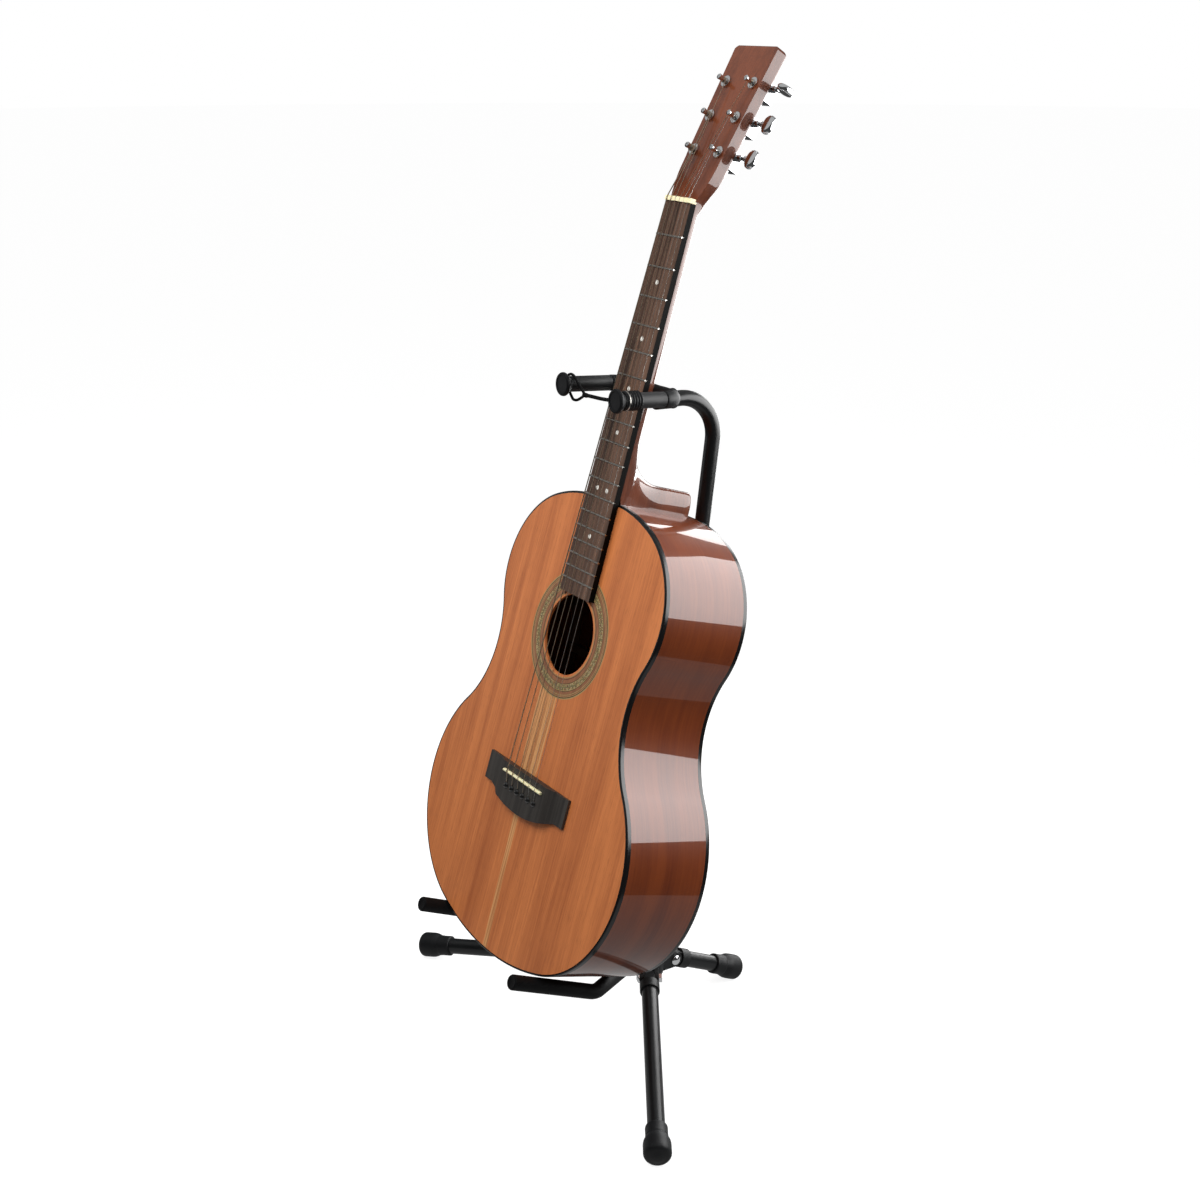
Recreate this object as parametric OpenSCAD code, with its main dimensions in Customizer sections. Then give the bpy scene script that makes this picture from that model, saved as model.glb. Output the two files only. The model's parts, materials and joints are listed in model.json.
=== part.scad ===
// Small-bodied acoustic guitar standing in a tripod guitar stand.
// +Z is up, the guitar faces -Y and its treble side is +X.
// The origin is on the floor, at the centre of the bounding box.

/* [Guitar scale and lean] */
// Scale length from the nut to the saddle
scale_l = 630; // [600:1:660]
// How far the guitar leans back in the stand, in degrees
lean = 17.81; // [12:0.01:20]
// Height above the floor of the top's edge where the neck meets the body
joint_z = 636; // [630:1:640]

/* [Body] */
// Depth of the body from the top to the back
body_depth = 109; // [95:1:115]
// Half of the straight stretch of the outline where the neck is joined
shoulder_flat = 19.6; // [15:0.1:25]
// Radius of each shoulder
shoulder_r = 178.8; // [170:0.1:190]
// Radius of the upper bout
upper_r = 99.3; // [95:0.1:105]
// Radius of the waist
waist_r = 116.5; // [110:0.1:125]
// Radius of the lower bout
lower_r = 138.1; // [130:0.1:145]
// Radius of the tail
tail_r = 310.4; // [290:0.1:330]
// Thickness of the top
top_t = 2.8; // [2:0.1:4]
// Thickness of the back
back_t = 3; // [2:0.1:4]
// Thickness of the sides and width of the binding
side_t = 2.2; // [1.8:0.1:3]
// Height of the binding
binding_h = 5.5; // [4:0.1:7]
// Radius of the sound hole
hole_r = 43.5; // [38:0.1:46]
// Outer radius of the rosette
rosette_r = 69.6; // [60:0.1:72]

/* [Neck] */
// Width of the neck at the nut
nut_w = 44; // [40:0.1:50]
// Width of the neck where it meets the body
joint_w = 53.4; // [50:0.1:60]
// Thickness of the fretboard
board_t = 6.8; // [5:0.1:8]
// Number of frets
frets_n = 18; // [12:1:18]
// Depth of the neck behind the fretboard
neck_d = 16.5; // [14:0.1:20]
// Angle of the headstock behind the neck, in degrees
head_angle = 13.7; // [8:0.1:17]
// Length of the headstock
head_l = 179; // [160:1:190]
// Thickness of the headstock
head_t = 15; // [13:0.1:17]
// Half width of the headstock at its tip
head_tip = 35.5; // [33:0.1:40]

/* [Bridge] */
// Length of the bridge
bridge_l = 160; // [140:1:170]
// Height of the bridge at its ends, along the strings
bridge_h = 32; // [28:0.5:36]
// Distance between the outer strings at the bridge
bridge_spread = 57; // [50:0.5:60]
// Distance between the outer strings at the nut
nut_spread = 36; // [34:0.5:38]

/* [Stand] */
// Distance from the mast to each front foot
front_reach = 293; // [270:1:310]
// Distance from the mast to the rear foot
rear_reach = 121; // [115:1:140]
// Angle of each front leg from the rear leg, in degrees
front_turn = 122.9; // [115:0.1:130]
// Outer radius of the leg tubes
leg_r = 9.5; // [8:0.1:10]
// Lean of the mast, in degrees
mast_lean = 7.1; // [5:0.1:9]
// Outer radius of the lower mast tube
mast_r = 10.5; // [10:0.1:12]
// Outer radius of the upper mast tube
upper_mast_r = 8.5; // [7:0.1:9]
// Half distance between the two cradle arms
cradle_x = 100; // [95:1:105]
// Half distance between the two yoke arms
yoke_x = 50; // [46:1:55]

/* [Hidden] */
$fn = 48;

// Gaps: a turning fit, free air between curved faces of different bodies, and round a bent bar
fit = 0.05;
air = 0.3;
bore_gap = 0.1;
// A cut runs this far past the face it opens
past = 1;

// The body joint sits this far behind the origin
joint_y = -7.17;

// Where the frets, nut and saddle lie along the neck, from the body joint
function fret_u(n) = scale_l * (pow(2, -n / 12) - 0.5);
nut_u = scale_l / 2;
saddle_u = -scale_l / 2 - 2.5;
pins_u = saddle_u - 15;
hole_u = -150.3;
board_end_u = -107.2;
function board_w(u) = joint_w + (nut_w - joint_w) * u / nut_u;

// String heights above the top
action_saddle = 12;
action_nut = 8.4;
string_radii = [0.66, 0.52, 0.4, 0.3, 0.21, 0.16];
function string_x(i, spread) = -spread / 2 + spread * i / 5;

// Body outline: each bout is [1 for outward or -1 for inward, radius, turn in degrees]
bouts = [
    [1, shoulder_r, 22.4],
    [1, upper_r, 92.1],
    [-1, waist_r, 66.7],
    [1, lower_r, 112.7],
    [1, tail_r, 19.5]
];
outline_step = 11;
lining_w = 6;
lining_h = 12;
block_x = 36;
block_l = 42;
tail_block_l = 20;

// Bridge details
bridge_top_u = -309;
bridge_belly_u = -354.7;
belly_r = 158;
bridge_t = 8.8;
wing_t = 3.4;
saddle_half = 38;
saddle_t = 3;
saddle_depth = 5;
pin_r = 2.4;
bridge_plate_t = 2.5;

// Frets and dots
fret_w = 2.2;
fret_crown = 1;
tang_w = 0.6;
tang_d = 1.8;
dot_r = 2.5;
dot_d = 1.5;

// Heel
heel_l = 24;
heel_curve = 46;
heel_end_x = 10;

// Tuners: three on each side, in the headstock's own frame
post_l = [58.5, 97.5, 136.5];
post_x = [21, 21.7, 22.6];
post_r = 3;
post_top = 12;
bushing_r = 5;
bushing_flange_r = 6.4;
bushing_flange_t = 2;
housing_x = 7.5;
housing_d = 12;
housing_up = 10;
housing_down = 18;
housing_wall = 1.4;
shaft_boss = 14;
worm_off = 5;
worm_depth = head_t + 5;
shaft_r = 2;
button_x = 50;
button_along = 14;
button_across = 20;
button_t = 7.5;
gear_r = 2.7;
worm_r = 2.2;
winding_r = 0.6;
winding_rings = 3;

// Stand, in its own places behind and above the origin
mast_y = joint_y + 63.5;
hub_y = joint_y + 62;
hub_z = 66;
hub_r = 18;
hub_low = 16;
hub_high = 56;
pivot_r = 32;
pivot_z = 58;
foot_z = 15;
lug_in = 6.2;
lug_out = 11;
lug_r = 9;
tongue_x = 6;
bolt_r = 3;
knuckle_r = 11.5;
knuckle_from = 11;
knuckle_to = 24;
wall = 1.2;
mast_top = 322;
upper_from = 122;
clamp_r = 16;
clamp_from = 292;
clamp_to = 332;
clamp_z = 308;
knob_reach = 34;

// Cradle and yoke routes for the treble side; the other side mirrors them
cradle_tip = [cradle_x, joint_y - 178, joint_z - 472.8];
cradle_bend = [cradle_x, joint_y - 78, joint_z - 517.8];
cradle_root = [34, joint_y + 48, joint_z - 528.2];
cradle_middle = [0, cradle_root.y, cradle_root.z];
cradle_bend_r = 26;
cradle_r = 5;
sleeve_inward = 95;
sleeve_r = 8.3;
gooseneck_z = joint_z + 96.5;
gooseneck_y = joint_y + 74;
gooseneck_r = 46;
yoke_crotch = [0, joint_y + 66.2, joint_z + 103];
yoke_corner = [yoke_x, joint_y + 53.7, joint_z + 109.5];
yoke_tip = [yoke_x, joint_y - 19, joint_z + 115.9];
yoke_bend_r = 19;
boot_l = 15;
arm_way = (yoke_tip - yoke_corner) / norm(yoke_tip - yoke_corner);
yoke_arm_from = yoke_corner + boot_l * arm_way;
arm_reach = norm(yoke_tip - yoke_arm_from);
arm_rise = asin(arm_way.z);
boot_arm_r = 8.7;
boot_crotch_r = 10.6;
collar_r = 10.4;
collar_z = joint_z + 97.3;
strap_r = 2;
cuff_back = 27;
cuff_l = 20;
strap_z = joint_z + 112;
strap_y = joint_y - 8;

// ---------- Helpers ----------

function unit(v) = v / norm(v);
function flip_x(p) = [-p.x, p.y, p.z];

module guitar_frame() {
    translate([0, joint_y, joint_z]) rotate([-lean, 0, 0]) children();
}

module head_frame() {
    guitar_frame() translate([0, -2.5, nut_u]) rotate([-head_angle, 0, 0]) children();
}

module mast_frame() {
    translate([0, mast_y, hub_z]) rotate([-mast_lean, 0, 0]) children();
}

// A flat board in the guitar's frame: its front face lies at the given depth
module board(depth, thick) {
    translate([0, depth + thick, 0]) rotate([90, 0, 0]) linear_extrude(thick) children();
}

module rod(a, b, r) {
    d = b - a;
    translate(a)
        rotate([0, acos(d.z / norm(d)), atan2(d.y, d.x)])
            cylinder(h = norm(d), r = r);
}

// A route has an arc of one bend radius at each inner point
function heading(p, i) = unit(p[i + 1] - p[i]);
function turn_at(p, i) = acos(heading(p, i - 1) * heading(p, i));
function tangent_at(p, i, bend) = bend * tan(turn_at(p, i) / 2);

function arc_at(p, i, bend) =
    let (
        a = turn_at(p, i),
        n = ceil(a / 12),
        y = heading(p, i - 1),
        c = p[i] + unit(heading(p, i) - y) * bend / cos(a / 2),
        x = unit(p[i] - y * tangent_at(p, i, bend) - c)
    )
    [for (k = [0 : n]) c + bend * (cos(a * k / n) * x + sin(a * k / n) * y)];
function bent_route(p, bend) = concat(
    [p[0]],
    [for (i = [1 : len(p) - 2]) each arc_at(p, i, bend)],
    [p[len(p) - 1]]
);

// A round bar through a list of points, with one radius or a list of them: each ring's first
// axis is carried along untwisted
function along(p, i) = unit(p[min(i + 1, len(p) - 1)] - p[max(i - 1, 0)]);
function square_to(v, d) = unit(v - (v * d) * d);
function ring_axes(p, i, x) =
    i == len(p) ? [] :
    let (next = square_to(x, along(p, i))) concat([next], ring_axes(p, i + 1, next));

module sweep(p, r, sides) {
    last = len(p) - 1;
    radii = is_list(r) ? r : [for (q = p) r];
    start = cross(along(p, 0), [0.31, 0.43, 0.85]);
    axes = ring_axes(p, 0, start);
    points = [
        for (i = [0 : last])
            let (x = axes[i], y = cross(along(p, i), x))
            for (k = [0 : sides - 1])
                p[i] + radii[i] * (cos(360 * k / sides) * x + sin(360 * k / sides) * y)
    ];
    faces = concat(
        [[for (k = [0 : sides - 1]) k]],
        [for (i = [0 : last - 1], k = [0 : sides - 1]) [
            i * sides + k,
            (i + 1) * sides + k,
            (i + 1) * sides + (k + 1) % sides,
            i * sides + (k + 1) % sides
        ]],
        [[for (k = [sides - 1 : -1 : 0]) last * sides + k]]
    );
    polyhedron(points, faces);
}

// Points of the outline's treble half, inset by t, from the end of the straight shoulder
function bout_points(i, p, h, t) =
    i == len(bouts) ? [] :
    let (
        s = bouts[i][0],
        r = bouts[i][1],
        a = bouts[i][2],
        c = p + s * r * [sin(h), -cos(h)],
        g = h - s * a,
        n = ceil(r * a * PI / 180 / outline_step)
    )
    concat(
        [for (k = [1 : n]) c + (r - s * t) * s * [-sin(h - s * a * k / n), cos(h - s * a * k / n)]],
        bout_points(i + 1, c + s * r * [-sin(g), cos(g)], g, t)
    );
function half_outline(t) =
    concat([[shoulder_flat, -t]], bout_points(0, [shoulder_flat, 0], 0, t));
function tail_u(t) = half_outline(t)[len(half_outline(t)) - 1].y;
body_l = -tail_u(0);

module body_outline(t) {
    half = half_outline(t);
    last = len(half) - 2;
    polygon(concat(
        [for (k = [0 : last]) half[k]],
        [[0, tail_u(t)]],
        [for (k = [0 : last]) [-half[last - k].x, half[last - k].y]]
    ));
}

module body_ring(outer, inner) {
    difference() {
        body_outline(outer);
        body_outline(inner);
    }
}

// ---------- Guitar body ----------

module rosette_ring() {
    translate([0, hole_u]) difference() {
        circle(rosette_r, $fn = 96);
        circle(hole_r + 2.5, $fn = 96);
    }
}

module soundboard() {
    color("peru") guitar_frame() difference() {
        board(0, top_t) difference() {
            body_outline(side_t);
            translate([0, hole_u]) circle(hole_r, $fn = 96);
        }
        board(-past, past + 1.2) rosette_ring();
        pin_bores();
    }
}

module rosette() {
    color("darkkhaki") guitar_frame() board(0, 1.2) difference() {
        rosette_ring();
        translate([-board_w(hole_u) / 2, board_end_u]) square([board_w(hole_u), 60]);
    }
}

module back_plate() {
    color("saddlebrown") guitar_frame() board(body_depth - back_t, back_t) body_outline(side_t);
}

module side_half(side) {
    guitar_frame() board(binding_h, body_depth - 2 * binding_h) intersection() {
        body_ring(0, side_t);
        translate([side > 0 ? 0 : -300, -600]) square([300, 700]);
    }
}

module side_bass() {
    color("sienna") side_half(-1);
}

module side_treble() {
    color("sienna") side_half(1);
}

module bindings() {
    color("black") guitar_frame() for (d = [0, body_depth - binding_h])
        board(d, binding_h) body_ring(0, side_t);
}

module block_area() {
    translate([-block_x, -block_l - side_t]) square([2 * block_x, block_l + side_t]);
    translate([-block_x, -body_l]) square([2 * block_x, tail_block_l + side_t]);
}

module linings() {
    color("burlywood") guitar_frame()
        for (d = [top_t, body_depth - back_t - lining_h])
            board(d, lining_h) difference() {
                body_ring(side_t, side_t + lining_w);
                block_area();
            }
}

module block_board() {
    board(top_t, body_depth - top_t - back_t) intersection() {
        body_outline(side_t);
        children();
    }
}

module neck_block() {
    color("tan") guitar_frame() block_board()
        translate([-block_x, -block_l - side_t]) square([2 * block_x, block_l + side_t]);
}

module tail_block() {
    color("tan") guitar_frame() block_board()
        translate([-block_x, -body_l]) square([2 * block_x, tail_block_l + side_t]);
}

// A straight brace between two points of the top or back
module brace(a, b, w) {
    d = b - a;
    translate(a) rotate(atan2(d.y, d.x)) translate([0, -w / 2]) square([norm(d), w]);
}

module inside_clear() {
    intersection() {
        body_outline(side_t + lining_w + air);
        difference() {
            children();
            block_area();
        }
    }
}

module top_braces() {
    cross_u = -222;
    color("wheat") guitar_frame() difference() {
        union() {
            board(top_t, 12) inside_clear() {
                brace([-220, cross_u - 155], [125, cross_u + 88], 8);
                brace([220, cross_u - 155], [-125, cross_u + 88], 8);
                brace([-150, -78], [150, -78], 10);
            }
            board(top_t, 8) inside_clear() {
                brace([-40, cross_u - 60], [105, cross_u - 195], 7);
                brace([-10, cross_u - 120], [60, cross_u - 240], 7);
            }
        }
        board(top_t - past, bridge_plate_t + past) bridge_plate_area();
        pin_bores();
    }
}

module back_braces() {
    color("wheat") guitar_frame() board(body_depth - back_t - lining_h, lining_h)
        inside_clear() for (u = [-80, -190, -310, -430]) brace([-220, u], [220, u], 9);
}

module bridge_plate_area() {
    translate([-70, -352]) square([140, 46]);
}

module bridge_plate() {
    color("rosybrown") guitar_frame() difference() {
        board(top_t, bridge_plate_t) bridge_plate_area();
        pin_bores();
    }
}

// ---------- Bridge, strings and fretboard ----------

module at_pins() {
    for (i = [0 : 5]) translate([string_x(i, bridge_spread), 0, pins_u]) children();
}

module pin_bores() {
    at_pins() translate([0, -20, 0]) rotate([-90, 0, 0]) cylinder(h = 60, r = pin_r);
}

module bridge() {
    half = bridge_l / 2;
    color("dimgray") guitar_frame() difference() {
        intersection() {
            board(-bridge_t, bridge_t) union() {
                translate([-half, bridge_top_u - bridge_h]) square([bridge_l, bridge_h]);
                intersection() {
                    translate([0, bridge_belly_u + belly_r]) circle(belly_r, $fn = 128);
                    translate([-half, bridge_belly_u]) square([bridge_l, 30]);
                }
            }
            translate([0, 0, bridge_belly_u - past]) linear_extrude(60) polygon([
                [-half, 0], [-half, -wing_t], [-55, -wing_t - 0.6], [-44, -bridge_t],
                [44, -bridge_t], [55, -wing_t - 0.6], [half, -wing_t], [half, 0]
            ]);
        }
        saddle_blank(saddle_depth);
        pin_bores();
    }
}

module saddle_blank(depth) {
    translate([-saddle_half, -action_saddle, saddle_u - saddle_t / 2])
        cube([2 * saddle_half, action_saddle - bridge_t + depth, saddle_t]);
}

module saddle() {
    color("ivory") guitar_frame() intersection() {
        saddle_blank(saddle_depth);
        translate([0, -action_saddle + 1.5, saddle_u])
            rotate([0, 90, 0]) translate([0, 0, -saddle_half])
                linear_extrude(2 * saddle_half) union() {
                    circle(1.5);
                    translate([-1.5, 0]) square([3, 10]);
                }
    }
}

module bridge_pins() {
    color("black") guitar_frame() at_pins() translate([0, -bridge_t, 0]) rotate([90, 0, 0])
        rotate_extrude() union() {
            translate([0, -17]) square([pin_r, 17]);
            intersection() {
                translate([0, -1.2]) circle(4.1);
                square([4.2, 4.2]);
            }
        }
}

// One string from its pin, over the saddle and the nut, to the side of its post
module string_run(i) {
    r = string_radii[i];
    side = i < 3 ? -1 : 1;
    k = i < 3 ? i : 5 - i;
    xs = string_x(i, bridge_spread);
    xn = string_x(i, nut_spread);
    wind = post_r + 2 * winding_r + air + r;
    face = [side * (post_x[k] - wind), -5, post_l[k]];
    saddle_p = [xs, -action_saddle - r, saddle_u];
    nut_p = [xn, -action_nut - r, nut_u + 2.5];
    head_p = [
        face.x,
        -2.5 + face.y * cos(head_angle) + face.z * sin(head_angle),
        nut_u - face.y * sin(head_angle) + face.z * cos(head_angle)
    ];
    sweep([[xs, -bridge_t - 0.8, pins_u + 4.3], saddle_p, nut_p, head_p], r, 8);
}

module strings() {
    color("silver") guitar_frame() for (i = [0 : 5]) string_run(i);
}

module nut() {
    color("cornsilk") guitar_frame() difference() {
        translate([-nut_w / 2, -action_nut - 0.4, nut_u]) cube([nut_w, action_nut + 0.4, 5]);
        for (i = [0 : 5]) {
            r = string_radii[i];
            translate([string_x(i, nut_spread) - r, -action_nut - 2 * r, nut_u - past])
                cube([2 * r, 2 * r + 2, 8]);
        }
        rotate([0, 90, 0]) translate([-nut_u - 7, -9.6, 0])
            cylinder(h = nut_w + 10, r = 3, center = true);
    }
}

module board_plan() {
    polygon([
        [-board_w(board_end_u) / 2, board_end_u],
        [board_w(board_end_u) / 2, board_end_u],
        [nut_w / 2, nut_u],
        [-nut_w / 2, nut_u]
    ]);
}

module fret_bar(n, w, h, sink) {
    u = fret_u(n);
    translate([-board_w(u) / 2, -board_t - h, u - w / 2]) cube([board_w(u), h + sink, w]);
}

module fret_crowns(n) {
    u = fret_u(n);
    rise = (fret_w * fret_w / 4 + fret_crown * fret_crown) / (2 * fret_crown);
    intersection() {
        fret_bar(n, fret_w, fret_crown, 0);
        translate([0, -board_t - fret_crown + rise, u]) rotate([0, 90, 0])
            cylinder(h = 80, r = rise, center = true);
    }
}

// Fret number and sideways place of each dot
dots = [[3, 0], [5, 0], [7, 0], [9, 0], [12, -9], [12, 9], [15, 0]];

module at_dots() {
    for (d = dots)
        translate([d[1], -board_t, (fret_u(d[0]) + fret_u(d[0] - 1)) / 2])
            rotate([-90, 0, 0]) children();
}

module fretboard() {
    color("#4a3428") guitar_frame() difference() {
        board(-board_t, board_t) board_plan();
        for (n = [1 : frets_n]) fret_bar(n, tang_w, past, tang_d);
        at_dots() translate([0, 0, -past]) cylinder(h = dot_d + past, r = dot_r);
    }
}

module frets() {
    color("silver") guitar_frame() for (n = [1 : frets_n]) {
        fret_crowns(n);
        fret_bar(n, tang_w, 0, tang_d);
    }
}

module position_dots() {
    color("white") guitar_frame() at_dots() cylinder(h = dot_d, r = dot_r);
}

// ---------- Neck and headstock ----------

// The neck's back is part of a cone: its radius where the section is w wide and d deep
function back_r(w, d) = (w * w / 4 + d * d) / (2 * d);

module neck_shaft() {
    low_u = 40;
    high_u = nut_u + 4;
    low_r = back_r(board_w(low_u) - 0.4, neck_d);
    high_r = back_r(board_w(high_u) - 0.4, neck_d - 2);
    low_y = neck_d - low_r;
    high_y = neck_d - 2 - high_r;
    intersection() {
        translate([0, low_y, low_u]) rotate([-atan((high_y - low_y) / (high_u - low_u)), 0, 0])
            cylinder(h = high_u - low_u, r1 = low_r, r2 = high_r, $fn = 96);
        translate([-40, 0, low_u + 1]) cube([80, 60, high_u - low_u - 2]);
    }
}

module heel() {
    intersection() {
        translate([-40, 0, 0]) rotate([90, 0, 90]) linear_extrude(80) polygon(concat(
            [[0, 0], [body_depth - 1, 0], [body_depth - 1, heel_l]],
            [for (a = [0 : 6 : 90])
                [neck_d + heel_curve * (1 - sin(a)), heel_l + heel_curve * (1 - cos(a))]],
            [[neck_d, 110], [0, 110]]
        ));
        linear_extrude(120) polygon(concat(
            [[-joint_w / 2, 0], [joint_w / 2, 0]],
            [for (a = [0 : 10 : 90])
                [heel_end_x + 2 + 14 * (1 - sin(a)), 12 + 55 * (1 - cos(a))]],
            [[heel_end_x, body_depth], [-heel_end_x, body_depth]],
            [for (a = [90 : -10 : 0])
                [-heel_end_x - 2 - 14 * (1 - sin(a)), 12 + 55 * (1 - cos(a))]]
        ));
    }
}

module head_plan() {
    polygon(concat(
        [[-22, 0], [22, 0]],
        [for (a = [0 : 15 : 90]) [22.2 + 7.8 * sin(a), 4 + 38 * a / 90]],
        [[head_tip, head_l - 4], [head_tip - 4, head_l]],
        [[-head_tip + 4, head_l], [-head_tip, head_l - 4]],
        [for (a = [90 : -15 : 0]) [-22.2 - 7.8 * sin(a), 4 + 38 * a / 90]]
    ));
}

module at_tuners() {
    for (side = [-1, 1], k = [0 : 2]) translate([side * post_x[k], 0, post_l[k]])
        mirror([side < 0 ? 1 : 0, 0, 0]) children();
}

module neck() {
    color("sienna") difference() {
        union() {
            guitar_frame() {
                heel();
                neck_shaft();
            }
            head_frame() board(0, head_t) head_plan();
        }
        guitar_frame() translate([-40, -30, nut_u - 30]) cube([80, 30, 35]);
        guitar_frame() truss_channel(0);
        head_frame() at_tuners() {
            translate([0, -past, 0]) rotate([-90, 0, 0]) cylinder(h = head_t + 2, r = bushing_r);
            translate([0, head_t - 10, -housing_down + 4]) rotate([-90, 0, 0])
                cylinder(h = 12, r = 1.2);
        }
    }
}

module truss_channel(gap) {
    translate([-3 + gap, gap, 12]) cube([6 - 2 * gap, 11 - 2 * gap, nut_u - 40]);
}

module truss_rod() {
    color("gray") guitar_frame() {
        for (d = [2.8, 8.2]) translate([0, d, 13]) cylinder(h = nut_u - 42, r = 2.5);
        for (u = [13, nut_u - 40]) translate([-2.8, 0.3, u]) cube([5.6, 10.4, 10]);
    }
}

// ---------- Tuning machines ----------

module housing_shape() {
    translate([-housing_x, head_t, -housing_down + 8])
        cube([2 * housing_x, housing_d, housing_up + housing_down - 8]);
    translate([-4, head_t, -housing_down]) cube([8, 3, 9]);
    translate([0, worm_depth, worm_off]) rotate([0, 90, 0])
        cylinder(h = shaft_boss, r = 4);
}

module tuner_housings() {
    color("gainsboro") head_frame() at_tuners() difference() {
        housing_shape();
        translate([-housing_x + housing_wall, head_t + housing_wall, -housing_down + 9.4])
            cube([
                2 * (housing_x - housing_wall),
                housing_d - 2 * housing_wall,
                housing_up + housing_down - 8 - 2 * housing_wall
            ]);
        translate([0, head_t - past, 0]) rotate([-90, 0, 0]) cylinder(h = 4, r = post_r + fit);
        translate([0, worm_depth, worm_off]) rotate([0, 90, 0])
            cylinder(h = 40, r = shaft_r + fit);
        translate([0, head_t - past, -housing_down + 4]) rotate([-90, 0, 0])
            cylinder(h = 12, r = 1.2);
    }
}

module tuner_bushings() {
    color("silver") head_frame() at_tuners() difference() {
        union() {
            rotate([-90, 0, 0]) cylinder(h = head_t, r = bushing_r);
            translate([0, -bushing_flange_t, 0]) rotate([-90, 0, 0])
                cylinder(h = bushing_flange_t, r = bushing_flange_r);
        }
        translate([0, -10, 0]) rotate([-90, 0, 0]) cylinder(h = head_t + 20, r = post_r + fit);
    }
}

module tuner_screws() {
    color("silver") head_frame() at_tuners()
        translate([0, head_t + 3, -housing_down + 4]) rotate([90, 0, 0]) {
            cylinder(h = 11, r = 1.2);
            translate([0, 0, -1.4]) cylinder(h = 1.4, r = 2.4);
        }
}

// Machines 1 to 3 are on the treble side and 4 to 6 on the bass side, from the nut outward
module at_tuner(m) {
    side = m <= 3 ? 1 : -1;
    k = (m - 1) % 3;
    head_frame() translate([side * post_x[k], 0, post_l[k]])
        mirror([side < 0 ? 1 : 0, 0, 0]) children();
}

// The outermost treble button stands edge-on, the others lie flat
module tuner_button(m) {
    k = (m - 1) % 3;
    from = -housing_x + housing_wall + air;
    reach = button_x - post_x[k];
    color("gainsboro") at_tuner(m) translate([0, worm_depth, worm_off]) {
        rotate([0, 90, 0]) {
            translate([0, 0, from]) cylinder(h = reach - from, r = shaft_r);
            translate([0, 0, -4]) cylinder(h = 8, r = worm_r);
            translate([0, 0, reach - button_along / 2 - 2.5]) cylinder(h = 4, r = 3);
        }
        translate([reach, 0, 0]) rotate([m == 3 ? 90 : 0, 0, 0]) rotate([90, 0, 0])
            translate([0, 0, -button_t / 2]) linear_extrude(button_t) union() {
                for (z = [-1, 1]) translate([0, z * (button_across - button_along) / 2])
                    circle(button_along / 2);
                translate([-button_along / 2, -(button_across - button_along) / 2])
                    square([button_along, button_across - button_along]);
            }
    }
}

// A post turns in its bushing, with the string's last turns around it and a gear on its inner end
module tuner_post(m) {
    inner_end = -head_t - housing_d + housing_wall + air;
    shoulder = -head_t - housing_wall - 0.2;
    color("silver") at_tuner(m) rotate([90, 0, 0]) difference() {
        union() {
            translate([0, 0, inner_end]) cylinder(h = shoulder - inner_end, r = post_r - 1);
            translate([0, 0, -worm_depth - 1.5]) cylinder(h = 3, r = gear_r);
            translate([0, 0, shoulder]) cylinder(h = post_top - shoulder, r = post_r);
            for (j = [0 : winding_rings - 1]) translate([0, 0, 3.4 + j * 1.15])
                rotate_extrude() translate([post_r + winding_r - 0.1, 0]) circle(winding_r);
        }
        translate([0, 0, 8]) rotate([0, 90, 0]) cylinder(h = 20, r = 0.9, center = true);
    }
}

// ---------- Stand: hub, legs and feet ----------

// The leg's frame: origin at its pivot, +Y out along the leg
function slope(reach) = atan((pivot_z - foot_z) / (reach - pivot_r));
function leg_len(reach) = norm([pivot_z - foot_z, reach - pivot_r]);

module pivot_frame(turn) {
    translate([0, hub_y, 0]) rotate([0, 0, -turn]) translate([0, pivot_r, pivot_z]) children();
}

module leg_frame(turn, reach) {
    pivot_frame(turn) rotate([-slope(reach), 0, 0]) children();
}

module at_pivots() {
    for (turn = [0, front_turn, -front_turn]) pivot_frame(turn) children();
}

module hub() {
    color("#202020") difference() {
        union() {
            mast_frame() translate([0, 0, -hub_low]) cylinder(h = hub_low + hub_high, r = hub_r);
            at_pivots() for (x = [lug_in, -lug_out]) translate([x, 0, 0]) {
                rotate([0, 90, 0]) cylinder(h = lug_out - lug_in, r = lug_r);
                translate([0, -pivot_r + 12, -lug_r]) cube([lug_out - lug_in, pivot_r - 12, 2 * lug_r]);
            }
            translate(cradle_middle - [17, 10, 10]) cube([34, 26, 20]);
        }
        mast_frame() translate([0, 0, -hub_low - past])
            cylinder(h = hub_low + hub_high + 20, r = mast_r);
        at_pivots() rotate([0, 90, 0]) cylinder(h = 60, r = bolt_r + fit, center = true);
        translate(cradle_middle) rotate([0, 90, 0]) cylinder(h = 60, r = cradle_r, center = true);
    }
}

module leg_knuckle(turn, reach) {
    color("#202020") leg_frame(turn, reach) difference() {
        union() {
            rotate([0, 90, 0]) cylinder(h = 2 * tongue_x, r = lug_r - 0.5, center = true);
            translate([-tongue_x, 0, -lug_r + 0.5])
                cube([2 * tongue_x, knuckle_from + 1, 2 * lug_r - 1]);
            translate([0, knuckle_from, 0]) rotate([-90, 0, 0])
                cylinder(h = knuckle_to - knuckle_from, r = knuckle_r);
        }
        translate([0, knuckle_from + 3, 0]) rotate([-90, 0, 0]) cylinder(h = 40, r = leg_r);
        rotate([0, 90, 0]) cylinder(h = 60, r = bolt_r + fit, center = true);
    }
}

module leg(turn, reach) {
    from = knuckle_from + 3;
    to = leg_len(reach) + 6.5;
    color("#262626") leg_frame(turn, reach) rotate([-90, 0, 0]) difference() {
        translate([0, 0, from]) cylinder(h = to - from, r = leg_r);
        translate([0, 0, from - past]) cylinder(h = to - from + 2 * past, r = leg_r - wall);
    }
}

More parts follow.
